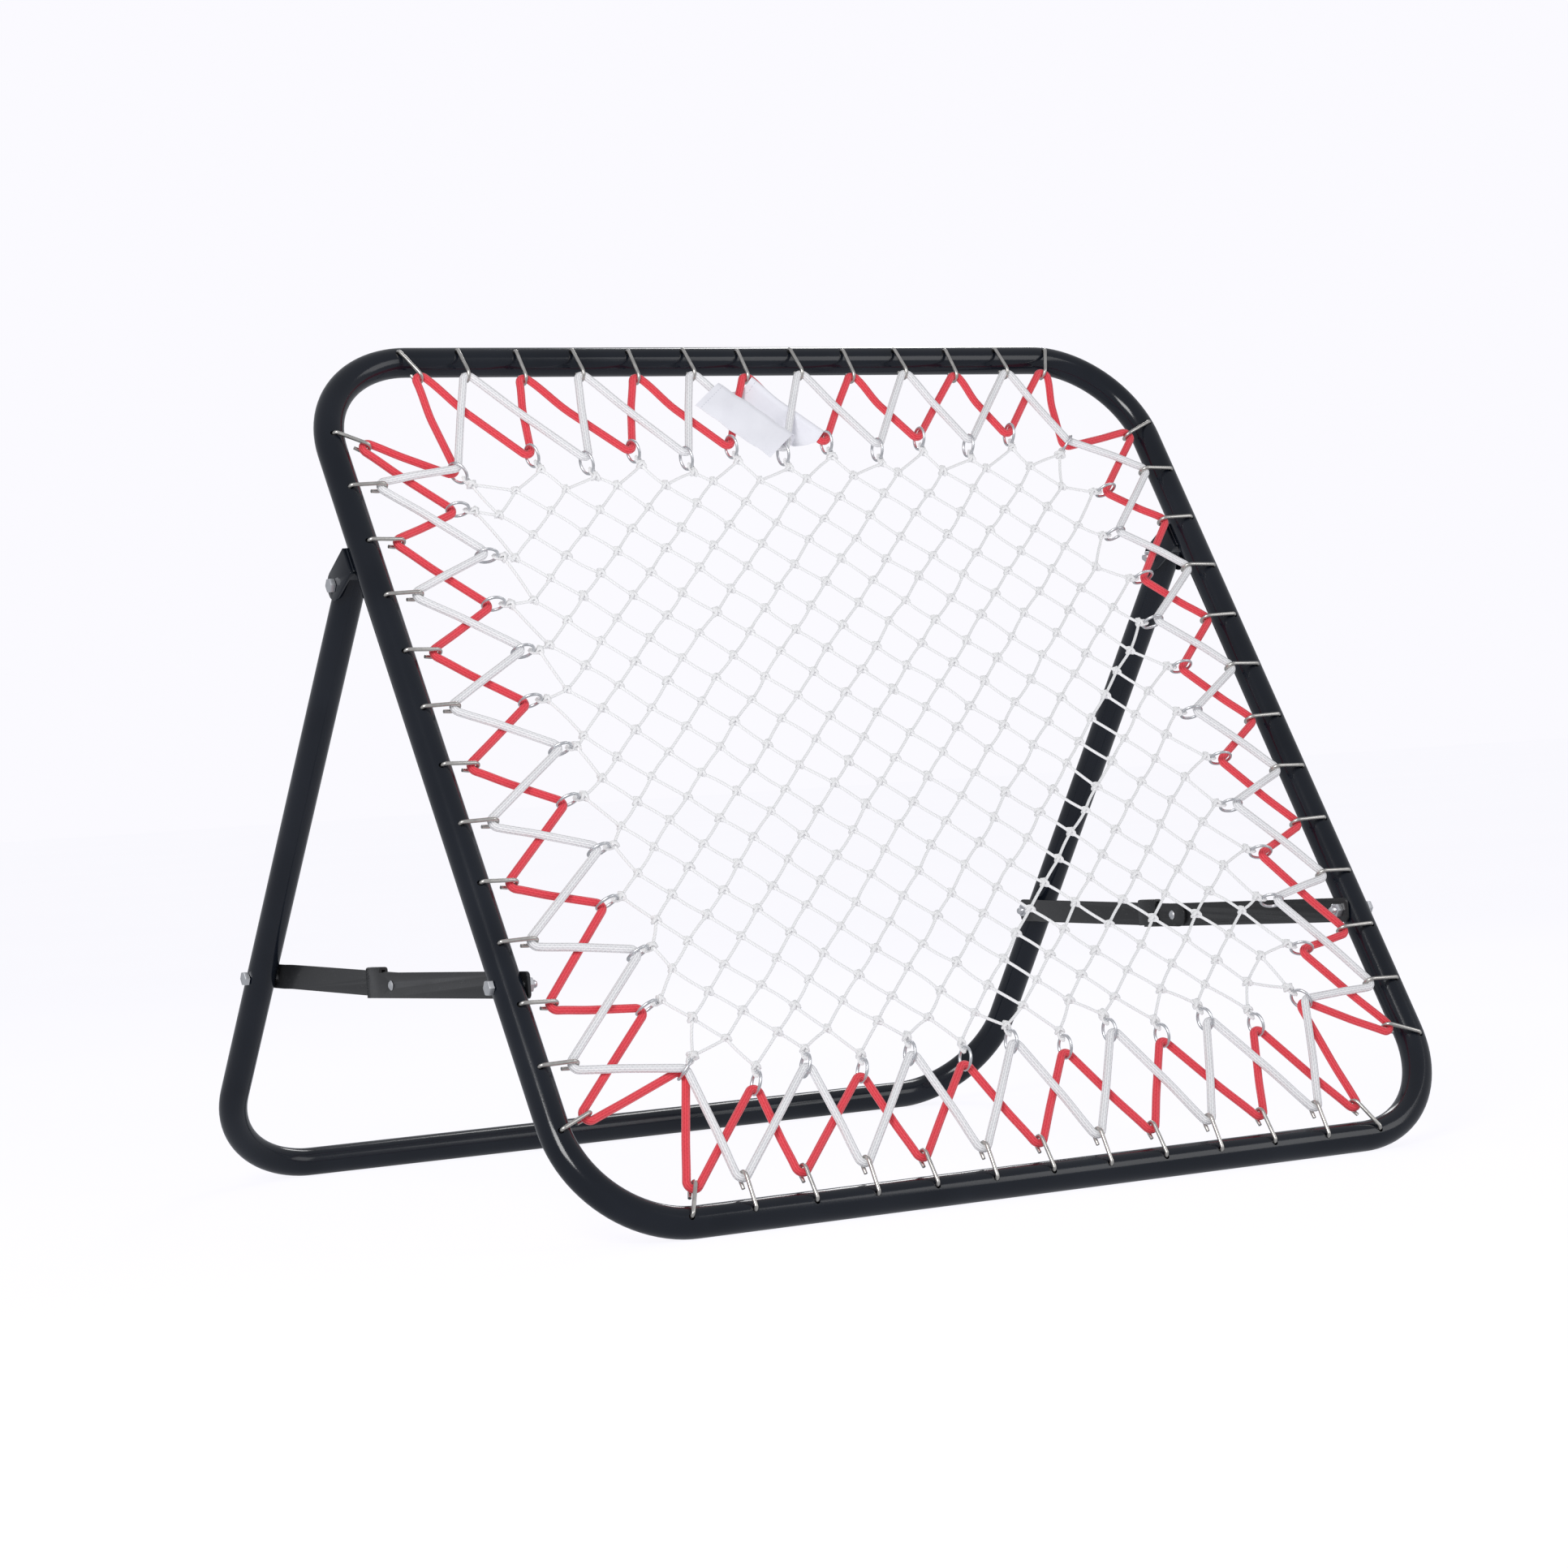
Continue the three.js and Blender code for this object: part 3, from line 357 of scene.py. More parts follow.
def sheath(name, yarn, shadow, sheen):
    cord = Finish(name, Sheen_Weight=sheen, Sheen_Roughness=0.5, IOR=1.45)
    around, lengthwise = cord.along()
    turn = around * (TAU * YARNS_ROUND)
    climb = lengthwise * (TAU / YARN_PITCH)
    right = (turn + climb).math("SINE")
    left = (turn - climb).math("SINE")
    ribs = (around * (TAU * YARNS_ROUND * 2)).math("SINE")
    braid = right.math("MAXIMUM", right, left) * 0.3 + ribs * 0.6
    depth = cord.range(braid, -0.6, 0.7, 0.0, 1.0)
    cloud = cord.noise(60, 3)
    cord.put("Base Color", cord.between(depth * 0.75 + cloud * 0.25, shadow, yarn))
    cord.put("Roughness", cord.range(depth, 0, 1, 0.72, 0.5))
    cord.bump(depth, 0.6, 0.0005)
    return cord.material


red_sheath = sheath("red_sheath", RED, RED_SHADE, 0.3)
white_sheath = sheath("white_sheath", WHITE, WHITE_SHADE, 0.2)
print("two sheaths of", 2 * YARNS_ROUND, "yarns")

# %% Twisted twine
TWINE_STRANDS = 3
TWIST_PITCH = 0.004


def twisted_twine():
    twine = Finish("twisted_twine", Sheen_Weight=0.2, IOR=1.45)
    around, lengthwise = twine.along()
    turn = around * (TAU * TWINE_STRANDS) + lengthwise * (TAU / TWIST_PITCH)
    strands = twine.range(turn.math("SINE"), -1, 1, 0, 1)
    cloud = twine.noise(120, 3)
    # the grooves between the strands are painted darker here: painted shade that follows the same
    # relief as the bump
    twine.put("Base Color", twine.between(strands * 0.7 + cloud * 0.3, grey(0.75), grey(0.91)))
    twine.put("Roughness", twine.range(strands, 0, 1, 0.75, 0.55))
    twine.bump(strands, 0.3, 0.0002)
    return twine.material


white_twine = twisted_twine()
print("twine of", TWINE_STRANDS, "strands")

# %% Woven cloth
THREAD_PITCH = 0.0009
STITCH_PITCH = 0.004
HEM_DEPTH = 0.006
STITCH_WIDTH = 0.0004
CLOTH_DARK = (0.76, 0.76, 0.81, 1)
CLOTH_LIGHT = (0.88, 0.88, 0.92, 1)
STITCH_GREY = (0.45, 0.45, 0.5, 1)


def woven_cloth():
    cloth = Finish("woven_label_cloth", Sheen_Weight=0.15, IOR=1.45)
    across, lengthwise = cloth.along()
    warp = (across * (TAU / THREAD_PITCH)).math("SINE")
    weft = (lengthwise * (TAU / THREAD_PITCH)).math("SINE")
    weave = cloth.range(warp * weft, -1, 1, 0, 1)
    cloud = cloth.noise(35, 4)
    # the cloth is painted darker where its bump is low: painted shade in the soft creases and between
    # the threads
    plain = cloth.between(cloud * 0.7 + weave * 0.3, CLOTH_DARK, CLOTH_LIGHT)
    dash = (across * (TAU / STITCH_PITCH)).math("SINE")
    hem = (lengthwise - HEM_DEPTH).math("ABSOLUTE")
    stitch = hem.math("LESS_THAN", hem, STITCH_WIDTH) * dash.math("GREATER_THAN", dash, -0.2)
    cloth.put("Base Color", cloth.between(stitch * 0.5, plain, STITCH_GREY))
    cloth.put("Roughness", cloth.range(cloud, 0, 1, 0.6, 0.85))
    cloth.bump(weave + cloud * 2, 0.35, 0.0003)
    return cloth.material


label_cloth = woven_cloth()
print("cloth with a row of stitches", HEM_DEPTH * 1000, "mm from one edge")

# %% [markdown]
# ## Hands
# A few helpers that do what hands do in the viewport: clear the selection, enter edit mode, push
# the open end of a tube forward or round a bend, and leave a finished piece at the origin.

# %% Modelling helpers
# turns that lay a circle or cylinder with its axis along X or along Y
ALONG_X = (0, math.pi / 2, 0)
ALONG_Y = (math.pi / 2, 0, 0)


def new_piece(name, adder, **settings):
    """Adds a primitive and enters edit mode with all of it selected."""
    bpy.ops.object.select_all(action="DESELECT")
    adder(**settings)
    piece = bpy.context.object
    piece.name = name
    bpy.ops.object.transform_apply(location=True, rotation=True, scale=True)
    bpy.ops.object.mode_set(mode="EDIT")
    bpy.ops.mesh.select_all(action="SELECT")
    return piece


def push(step):
    """Moves a copy of the open end, with a wall behind it."""
    bpy.ops.mesh.extrude_region_move(TRANSFORM_OT_translate={"value": step})


def push_wide(step, scale):
    """The same, and the moved end gets wider or narrower."""
    push(step)
    bpy.ops.transform.resize(value=scale)


def turn_end(centre, axis, angle, steps):
    """Carries the open end round an axis. A positive angle turns clockwise about it."""
    bpy.ops.mesh.spin(steps=steps, angle=angle, center=centre, axis=axis)


def pick(piece, wanted):
    """In edit mode, selects the vertices whose place passes the test."""
    bpy.ops.mesh.select_all(action="DESELECT")
    mesh = bmesh.from_edit_mesh(piece.data)
    for vertex in mesh.verts:
        vertex.select = wanted(vertex.co)
    mesh.select_flush_mode()
    bmesh.update_edit_mesh(piece.data)


def closed_shape(piece):
    """Back to object mode with doubles merged and faces out."""
    bpy.ops.mesh.select_all(action="SELECT")
    bpy.ops.mesh.remove_doubles(threshold=1e-5)
    bpy.ops.mesh.normals_make_consistent(inside=False)
    bpy.ops.object.mode_set(mode="OBJECT")
    return piece


def choose(piece):
    bpy.ops.object.select_all(action="DESELECT")
    piece.select_set(True)
    bpy.context.view_layer.objects.active = piece


def soften(piece, degrees=35):
    choose(piece)
    bpy.ops.object.shade_smooth_by_angle(angle=math.radians(degrees))


def modify(piece, kind, **settings):
    """Adds a modifier and applies it."""
    choose(piece)
    modifier = piece.modifiers.new(kind.title(), kind)
    for key, value in settings.items():
        setattr(modifier, key, value)
    bpy.ops.object.modifier_apply(modifier=modifier.name)


def finish_piece(piece, material, body, slot, *stands_for):
    piece.data.materials.clear()
    piece.data.materials.append(material)
    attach(piece, body)
    if stands_for:
        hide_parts(*stands_for)
    faces = len(piece.data.polygons)
    print(f"{piece.name}: {faces} faces on {body}")


def copies(model, name, places):
    """One piece from copies of a model, one at each place."""
    shape = bmesh.new()
    for place in places:
        part = model.data.copy()
        part.transform(place)
        shape.from_mesh(part)
        bpy.data.meshes.remove(part)
    mesh = bpy.data.meshes.new(name)
    shape.to_mesh(mesh)
    shape.free()
    piece = bpy.data.objects.new(name, mesh)
    bpy.context.collection.objects.link(piece)
    return piece


def discard(piece):
    mesh = piece.data
    bpy.data.objects.remove(piece)
    bpy.data.meshes.remove(mesh)


# %% [markdown]
# ## The sides of the frame
# Hooks and rings repeat along four sides, so each side gets its own little drawing: the middle of
# its tube, the direction along the tube (clockwise) and the direction in to the net. The corners
# and rows of the net are placed one by one, because a laced net hangs a little askew.

# %% Sides, hooks and rings
HOOKS = 13
ROW_MARGIN = 0.113
HOOK_ROW = SIZE - 2 * ROW_MARGIN
WIRE = 0.004
CORD_D = 0.008
CORD_PLANE = 0.011
CURL_ROOM = 0.0006
CURL = CORD_D / 2 + WIRE / 2 + CURL_ROOM
REACH = 0.031
END_TILT = math.radians(24)
OUT = Vector((0, 0, 1))
SIDES = [
    (Vector((0, TOP, 0)), Vector((1, 0, 0)), Vector((0, -1, 0))),
    (Vector((AXIS_X, TOP / 2, 0)), Vector((0, -1, 0)), Vector((-1, 0, 0))),
    (Vector((0, 0, 0)), Vector((-1, 0, 0)), Vector((0, 1, 0))),
    (Vector((-AXIS_X, TOP / 2, 0)), Vector((0, 1, 0)), Vector((1, 0, 0))),
]


def hook_root(side, index):
    """The place of a hook on its tube, and the direction that it points in."""
    start, along, inward = SIDES[side]
    tilt = {0: END_TILT, HOOKS - 1: -END_TILT}.get(index, 0)
    place = start + along * (index / (HOOKS - 1) - 0.5) * HOOK_ROW
    return place, inward * math.cos(tilt) + along * math.sin(tilt)


# how much further out to the front the hooks of each side reach
LIFTS = (0.005, 0, 0, 0)
# every other hook is tipped up by this much, and the rest down, to keep the cords apart
HOOK_LEVEL = 0.0021


def hook_post(side, index):
    place, way = hook_root(side, index)
    return place + way * (REACH + CURL) + OUT * (CORD_PLANE + LIFTS[side])


RINGS = 11
RING_R = 0.011
RING_WIRE = 0.003
CORNERS = [
    Vector((-AXIS_X + 0.120, TOP - 0.146, CORD_PLANE)),
    Vector((AXIS_X - 0.119, TOP - 0.124, CORD_PLANE)),
    Vector((AXIS_X - 0.122, 0.152, CORD_PLANE)),
    Vector((-AXIS_X + 0.143, 0.147, CORD_PLANE)),
]
# share of the side that the row takes up, how far it stands out, how far it has slipped
ROWS = [(0.789, 0.017, 0.011), (0.829, 0.027, 0.002), (0.811, 0.022, 0), (0.836, 0.015, 0.012)]
WHITE_INSET = 0.012


def ring_centre(side, index):
    spread, stands_out, slid = ROWS[side]
    along = CORNERS[(side + 1) % 4] - CORNERS[side]
    outward = Vector((-along.y, along.x, 0)).normalized()
    share = 0.5 + (index / (RINGS - 1) - 0.5) * spread + slid / along.length
    inset = WHITE_INSET if index % 2 else 0
    return CORNERS[side] + along * share + outward * (stands_out - inset)


def pull(centre, first, second):
    return ((first - centre).normalized() + (second - centre).normalized()).normalized()


corner_rings = []
side_rings = {}
for side in range(4):
    centre = CORNERS[side]
    way = pull(centre, hook_post((side + 3) % 4, HOOKS - 1), hook_post(side, 0))
    corner_rings.append((centre, way))
    for index in range(RINGS):
        centre = ring_centre(side, index)
        way = pull(centre, hook_post(side, index), hook_post(side, index + 2))
        side_rings[side, index] = (centre, way)
print(len(corner_rings) + len(side_rings), "rings and", 4 * HOOKS, "hooks")

# %% [markdown]
# ## The front tube
# The real loop is one steel tube, bent at four corners. A circle is pushed along each side and
# spun round each bend. It stops just before and just after every hook hole, so that the holes can
# be cut without spoiling the shading of the long walls.

# %% Bend the front tube
BEND = 0.110
TUBE_FACES = 40
NEAR_HOLE = 0.006
BEND_STEPS = 24
SEAM = -0.032
straight = AXIS_X - BEND
stops = []
for index in range(1, HOOKS - 1):
    hole = (index / (HOOKS - 1) - 0.5) * HOOK_ROW
    stops += [hole - NEAR_HOLE, hole + NEAR_HOLE]


def push_along(along, first, last):
    """Pushes the open end from one place on a side to another, with stops at the holes."""
    at = first
    for stop in [stop for stop in stops if first < stop < last] + [last]:
        push(along * (stop - at))
        at = stop


tube = new_piece(
    "front_tube", bpy.ops.mesh.primitive_circle_add,
    vertices=TUBE_FACES, radius=TUBE_D / 2, location=(-SEAM, 0, 0), rotation=ALONG_X,
)
# the loop starts and ends at a seam in the bottom side, away from any hole
for side, first, last in (
    (2, SEAM, straight), (3, -straight, straight), (0, -straight, straight),
    (1, -straight, straight), (2, -straight, SEAM),
):
    start, along, inward = SIDES[side]
    push_along(along, first, last)
    if last == straight:
        corner = start + along * straight + inward * BEND
        turn_end(corner, (0, 0, 1), math.pi / 2, BEND_STEPS)
closed_shape(tube)

# %% [markdown]
# ### Hook holes
# Each hook drops into a hole in the front of the tube. One mesh of short pins, cut away with a
# Boolean modifier, makes all of them at once.

# %% Drill the holes
HOLE_R = 0.0029
PIN_LENGTH = 0.010
PIN_HEIGHT = 0.0148
HOOK_BACK = 0.001
drill = new_piece(
    "drill", bpy.ops.mesh.primitive_cylinder_add, vertices=14, radius=HOLE_R, depth=PIN_LENGTH,
)
bpy.ops.object.mode_set(mode="OBJECT")
hole_places = []
for side in range(4):
    for index in range(HOOKS):
        root, way = hook_root(side, index)
        hole_places.append(Matrix.Translation(root - way * HOOK_BACK + OUT * PIN_HEIGHT))
pins = copies(drill, "pins", hole_places)
discard(drill)
modify(tube, "BOOLEAN", operation="DIFFERENCE", object=pins, solver="EXACT")
discard(pins)
tube.data.transform(slope)
soften(tube)
finish_piece(tube, frame_paint, "frame", "frame_tube", "front_frame")

# %% [markdown]
# ## The rear leg
# A bent tube as well, but its two ends are open, so it needs a real wall. The Solidify modifier
# gives one, inwards.

# %% Bend the rear leg
LEG_OVERRUN = 0.017
BRACE_STOP = 0.24
LEG_WALL = 0.0015
leg = new_piece(
    "leg_tube", bpy.ops.mesh.primitive_circle_add, vertices=TUBE_FACES, radius=TUBE_D / 2,
    location=(-AXIS_X, LEG_OVERRUN, 0), rotation=ALONG_Y,
)
leg_straight = (foot_rear - pivot).length - BEND
push((0, -LEG_OVERRUN - BRACE_STOP, 0))
push((0, -leg_straight + BRACE_STOP, 0))
turn_end((-straight, -leg_straight, 0), (0, 0, -1), math.pi / 2, BEND_STEPS)
push((straight, 0, 0))
push((straight, 0, 0))
turn_end((straight, -leg_straight, 0), (0, 0, -1), math.pi / 2, BEND_STEPS)
push((0, leg_straight - BRACE_STOP, 0))
push((0, BRACE_STOP + LEG_OVERRUN, 0))
closed_shape(leg)
up_leg = (pivot - foot_rear).normalized()
leg_angle = math.atan2(up_leg.z, up_leg.y)
leg_place = Matrix.Translation(pivot) @ Matrix.Rotation(leg_angle, 4, "X")
leg.data.transform(leg_place)
modify(leg, "SOLIDIFY", thickness=LEG_WALL, offset=-1)
soften(leg)
finish_piece(leg, leg_paint, "leg", "leg_tube", "rear_leg")

# %% [markdown]
# ## Hooks
# A hook is one bent wire. It rises out of its hole, lies over the tube, and curls down round the
# elastic cord with its tip pointing back. One is bent here with five moves, and 52 copies go
# round the frame, a row to a side. Each copy is tipped until its curl meets its own cord.

# %% Bend one hook
HOOK_FOOT = 0.0095
NECK_BEND = 0.003
CURL_DEGREES = 186
HOOK_TIP = (0, -0.0065, 0.0007)
neck = NECK_BEND - HOOK_BACK
lift = CORD_PLANE + CURL
hook = new_piece(
    "hook", bpy.ops.mesh.primitive_circle_add,
    vertices=10, radius=WIRE / 2, location=(0, -HOOK_BACK, HOOK_FOOT), fill_type="NGON",
)
push((0, 0, lift - NECK_BEND - HOOK_FOOT))
turn_end((0, neck, lift - NECK_BEND), (1, 0, 0), math.pi / 2, 5)
push((0, REACH - neck, 0))
turn_end((0, REACH, CORD_PLANE), (1, 0, 0), math.radians(CURL_DEGREES), 14)
push_wide(HOOK_TIP, (0.9, 0.9, 0.9))
closed_shape(hook)
for side, name in enumerate(("top", "right", "bottom", "left")):
    places = []
    for index in range(HOOKS):
        root, way = hook_root(side, index)
        across = way.cross(OUT)
        turn = Matrix((across, way, OUT)).transposed().to_4x4()
        rise = LIFTS[side] + HOOK_LEVEL * (1 if index % 2 else -1)
        tip = Matrix.Rotation(math.asin(rise / (REACH + CURL)), 4, "X")
        places.append(slope @ Matrix.Translation(root) @ turn @ tip)
    row = copies(hook, f"hooks_{name}", places)
    soften(row, 50)
    finish_piece(row, nickel, "frame", "zinc_hardware")
discard(hook)

# %% [markdown]
# ## Rings
# Each ring is a bit of wire, bent round and welded shut. A torus has its weld swollen a little,
# and each copy stands across the net, in line with the pull of its cord.

# %% Rings on the net's edge
WELD_ARC = 0.25
WELD_SWELL = 0.0002
ring = new_piece(
    "ring", bpy.ops.mesh.primitive_torus_add,
    major_radius=RING_R, minor_radius=RING_WIRE / 2, major_segments=30, minor_segments=10,
)
pick(ring, lambda place: math.atan2(place.y, place.x) > math.pi - WELD_ARC)
bpy.ops.transform.shrink_fatten(value=WELD_SWELL)
closed_shape(ring)
ring_places = []
for centre, way in corner_rings + list(side_rings.values()):
    turn = Matrix((way, OUT, way.cross(OUT))).transposed().to_4x4()
    ring_places.append(slope @ Matrix.Translation(centre) @ turn)
rings = copies(ring, "net_rings", ring_places)
discard(ring)
soften(rings, 50)
finish_piece(rings, zinc, "frame", "zinc_hardware")

# %% [markdown]
# ## Sweeping a round cord
# Cords and twine follow hundreds of points. A round section is set up across the line at each
# point, and its UV map runs once round in U and in metres along in V. All of them lie nearly in
# the plane of the net, so "out of the net" is a safe direction to measure the section from.

# %% Round sweep
def mapped_piece(name, points, faces, maps):
    """A piece from flat-frame points and faces, with its UV map."""
    mesh = bpy.data.meshes.new(name)
    mesh.from_pydata(points, [], faces)
    layer = mesh.uv_layers.new(name="UVMap")
    layer.data.foreach_set("uv", [value for pair in maps for value in pair])
    piece = bpy.data.objects.new(name, mesh)
    bpy.context.collection.objects.link(piece)
    mesh.transform(slope)
    return piece


def sweep(name, lines, radius, sides, closed=False):
    points, faces, maps = [], [], []
    for line in lines:
        base, count = len(points), len(line)
        length = 0
        lengths = []
        for i, here in enumerate(line):
            before = line[i - 1] if i or closed else here
            after = line[(i + 1) % count] if i + 1 < count or closed else here
            tangent = (after - before).normalized()
            side = tangent.cross(OUT).normalized()
            up = side.cross(tangent)
            length += (here - line[i - 1]).length if i else 0
            lengths.append(length)
            for k in range(sides):
                angle = TAU * k / sides
                points.append(here + side * radius * math.cos(angle) + up * radius * math.sin(angle))
        whole = length + (line[0] - line[-1]).length
        for i in range(count if closed else count - 1):
            j = (i + 1) % count
            v0, v1 = lengths[i], lengths[j] if j else whole
            here, there = base + i * sides, base + j * sides
            for k in range(sides):
                m = (k + 1) % sides
                faces.append([here + k, there + k, there + m, here + m])
                u0, u1 = k / sides, (k + 1) / sides
                maps += [(u0, v0), (u0, v1), (u1, v1), (u1, v0)]
        if not closed:
            for ring_base, order in ((base, 1), (base + (count - 1) * sides, -1)):
                faces.append([ring_base + k for k in range(sides)][::order])
                maps += [(0.5, lengths[0])] * sides
    piece = mapped_piece(name, points, faces, maps)
    choose(piece)
    bpy.ops.object.mode_set(mode="EDIT")
    bpy.ops.mesh.select_all(action="SELECT")
    bpy.ops.mesh.normals_make_consistent(inside=False)
    bpy.ops.object.mode_set(mode="OBJECT")
    soften(piece, 60)
    return piece


# %% [markdown]
# ## The elastic cords
# Each cord is a belt over pulleys: it runs in straight lines and wraps round the wire of a hook,
# then of a ring, and so on, clockwise round the frame. The straight arms touch both circles. The
# red cord takes the odd hooks and lies behind, and the white one takes the even hooks.

# %% Posts of a cord
HOOK_GAP = 0.0003
RING_GAP = 0.0002
HOOK_WRAP = WIRE / 2 + CORD_D / 2 + HOOK_GAP
RING_WRAP = RING_WIRE / 2 + CORD_D / 2 + RING_GAP
CORNER_SLACK = 0.0010
# how far the cords lie above and below the middle of a ring, and the share of an arm in which a
# cord changes from the level of the hooks to that of the rings
RING_LEVEL = 0.0042
EASE_IN = 0.45
WRAP_STEP = 0.22
ARM_PARTS = 16
ring_reach = math.sqrt(RING_R ** 2 - RING_LEVEL ** 2)


def posts(first):
    """Centre, wrap radius, turn and height of every post, clockwise."""
    listed = []
    for side in range(4):
        centre, way = corner_rings[side]
        listed.append((centre + way * ring_reach, RING_WRAP + CORNER_SLACK, 1, RING_LEVEL))
        for index in range(first, HOOKS, 2):
            listed.append((hook_post(side, index), HOOK_WRAP, -1, HOOK_LEVEL))
            if index + 2 < HOOKS:
                centre, way = side_rings[side, index]
                listed.append((centre + way * ring_reach, RING_WRAP, 1, RING_LEVEL))
    return listed


def heading(first, second):
    """The direction of the straight arm that touches both circles."""
    (start, r0, turn0, _), (end, r1, turn1, _) = first, second
    gap = end - start
    lean = math.asin((turn1 * r1 - turn0 * r0) / gap.xy.length)
    return math.atan2(gap.y, gap.x) - lean


def cord_line(first, level):
    """The middle line of a cord. A level of 1 lies above the rings' middles and -1 below."""
    listed = posts(first)
    count = len(listed)
    line = []
    for i, post in enumerate(listed):
        centre, radius, turn, height = post
        following = listed[(i + 1) % count]
        arrive = heading(listed[i - 1], post)
        leave = heading(post, following)
        swing = (leave - arrive) * turn % TAU * turn
        parts = max(6, int(abs(swing) / WRAP_STEP))
        z_here = centre.z + level * height
        for k in range(parts + 1):
            angle = arrive + swing * k / parts
            normal = Vector((-math.sin(angle), math.cos(angle), 0))
            line.append(Vector((centre.x, centre.y, z_here)) - normal * radius * turn)
        leaving = line[-1]
        normal = Vector((-math.sin(leave), math.cos(leave), 0))
        arriving = following[0] - normal * following[1] * following[2]
        z_there = following[0].z + level * following[3]
        for k in range(1, ARM_PARTS):
            share = k / ARM_PARTS
            place = leaving.lerp(arriving, share)
            to_ring = height < following[3]
            ease = min(1, share / EASE_IN) if to_ring else max(0, (share - 1) / EASE_IN + 1)
            place.z = z_here + (z_there - z_here) * ease * ease * (3 - 2 * ease)
            line.append(place)
    return line


for name, first, level, material in (
    ("red", 0, -1, red_sheath),
    ("white", 1, 1, white_sheath),
):
    line = cord_line(first, level)
    cord = sweep(f"elastic_{name}", [line], CORD_D / 2, 14, closed=True)
    length = sum((line[i] - line[i - 1]).length for i in range(len(line)))
    print(f"{name} cord, stretched: {length:.2f} m")
    finish_piece(cord, material, "frame", f"cord_{name}", f"elastic_cord_{name}")

# %% [markdown]
# ## The net
# The net is knotted from one twine: falling and rising strands with a knot at each crossing. The
# knots are laid out as a lattice between the four corner rings. Hand-tied knots are never quite
# in line, so each one is moved a little, with a fixed seed.

# %% Lay out the knots
STRANDS = 24
MIDDLE_SUM = STRANDS - 1
EDGE = RINGS + 2
TWINE_R = 0.0015
KNOT_GAP = 0.0065
KNOT_STIR = 0.0016
chance = random.Random(7)


def in_net(p, q):
    inside = 0 <= p < STRANDS and 0 <= q < STRANDS
    return inside and abs(q - p) <= EDGE and abs(p + q - MIDDLE_SUM) <= EDGE


def ring_knot(centre, way):
    return centre - way * (RING_R + KNOT_GAP)


def knot_place(p, q):
    across, below = p + q - MIDDLE_SUM, q - p
    if below == -EDGE:
        return ring_knot(*side_rings[0, (RINGS - 1 + across) // 2])
    if across == EDGE:
        return ring_knot(*side_rings[1, (RINGS - 1 + below) // 2])
    if below == EDGE:
        return ring_knot(*side_rings[2, (RINGS - 1 - across) // 2])
    if across == -EDGE:
        return ring_knot(*side_rings[3, (RINGS - 1 - below) // 2])
    share = (across / EDGE + 1) / 2
    upper = CORNERS[0].lerp(CORNERS[1], share)
    lower = CORNERS[3].lerp(CORNERS[2], share)
    place = upper.lerp(lower, (below / EDGE + 1) / 2)
    stir = Vector((chance.uniform(-1, 1), chance.uniform(-1, 1), chance.uniform(-0.6, 0.6)))
    return place + stir * KNOT_STIR


crossings = [(p, q) for p in range(STRANDS) for q in range(STRANDS) if in_net(p, q)]
knots = {(p, q): knot_place(p, q) for p, q in crossings}
print(len(knots), "knots")


# %% [markdown]
# ### Strands
# Between two knots the twine is nearly straight, with a slight bow of its own.

# %% Run the strands
BOW_ASIDE = 0.0011
BOW_OUT = 0.0008
BOW_PARTS = 5


def bowed(first, second):
    """Points after the first knot, up to the second."""
    along = second - first
    aside = along.cross(OUT).normalized() * chance.uniform(-BOW_ASIDE, BOW_ASIDE)
    aside += OUT * chance.uniform(-BOW_OUT, BOW_OUT)
    made = []
    for k in range(1, BOW_PARTS + 1):
        share = k / BOW_PARTS
        made.append(first + along * share + aside * math.sin(math.pi * share))
    return made


def strand(places):
    line = [places[0]]
    for first, second in zip(places, places[1:]):
        line += bowed(first, second)
    return line


lines = []
for number in range(STRANDS):
    falling = [knots[number, q] for q in range(STRANDS) if (number, q) in knots]
    rising = [knots[p, number] for p in range(STRANDS) if (p, number) in knots]
    lines += [strand(falling), strand(rising)]
last, middle = STRANDS - 1, MIDDLE_SUM // 2
ties = [
    ((middle, 0), (middle + 1, 0)), ((last, middle), (last, middle + 1)),
    ((middle, last), (middle + 1, last)), ((0, middle), (0, middle + 1)),
]
corner_knots = [ring_knot(*ring) for ring in corner_rings]
for end, pair in zip(corner_knots, ties):
    lines += [strand([knots[key], end]) for key in pair]
net = sweep("net_twine", lines, TWINE_R, 7)
finish_piece(net, white_twine, "frame", "net_twine", "net")

# %% [markdown]
# ### Knots
# A netting knot is two small loops, one across the other. Each loop is a ring of a few dozen
# faces, because it is repeated hundreds of times.

# %% Model one loop
LOOP_R = 0.0028
loop = new_piece(
    "loop", bpy.ops.mesh.primitive_torus_add,
    major_radius=LOOP_R, minor_radius=TWINE_R, major_segments=9, minor_segments=5,
)
bpy.ops.transform.resize(value=(1, 1.25, 1))
closed_shape(loop)
print("loop of", len(loop.data.polygons), "faces")


# %% Tie the knots
def tied(place, way, lean_angle, scale):
    """A loop round a strand that runs in the direction "way"."""
    side = way.cross(OUT).normalized()
    turn = Matrix((OUT, side, way.normalized())).transposed().to_4x4()
    leaned = Matrix.Translation(place) @ Matrix.Rotation(lean_angle, 4, "Z")
    return slope @ leaned @ turn @ Matrix.Scale(scale, 4)


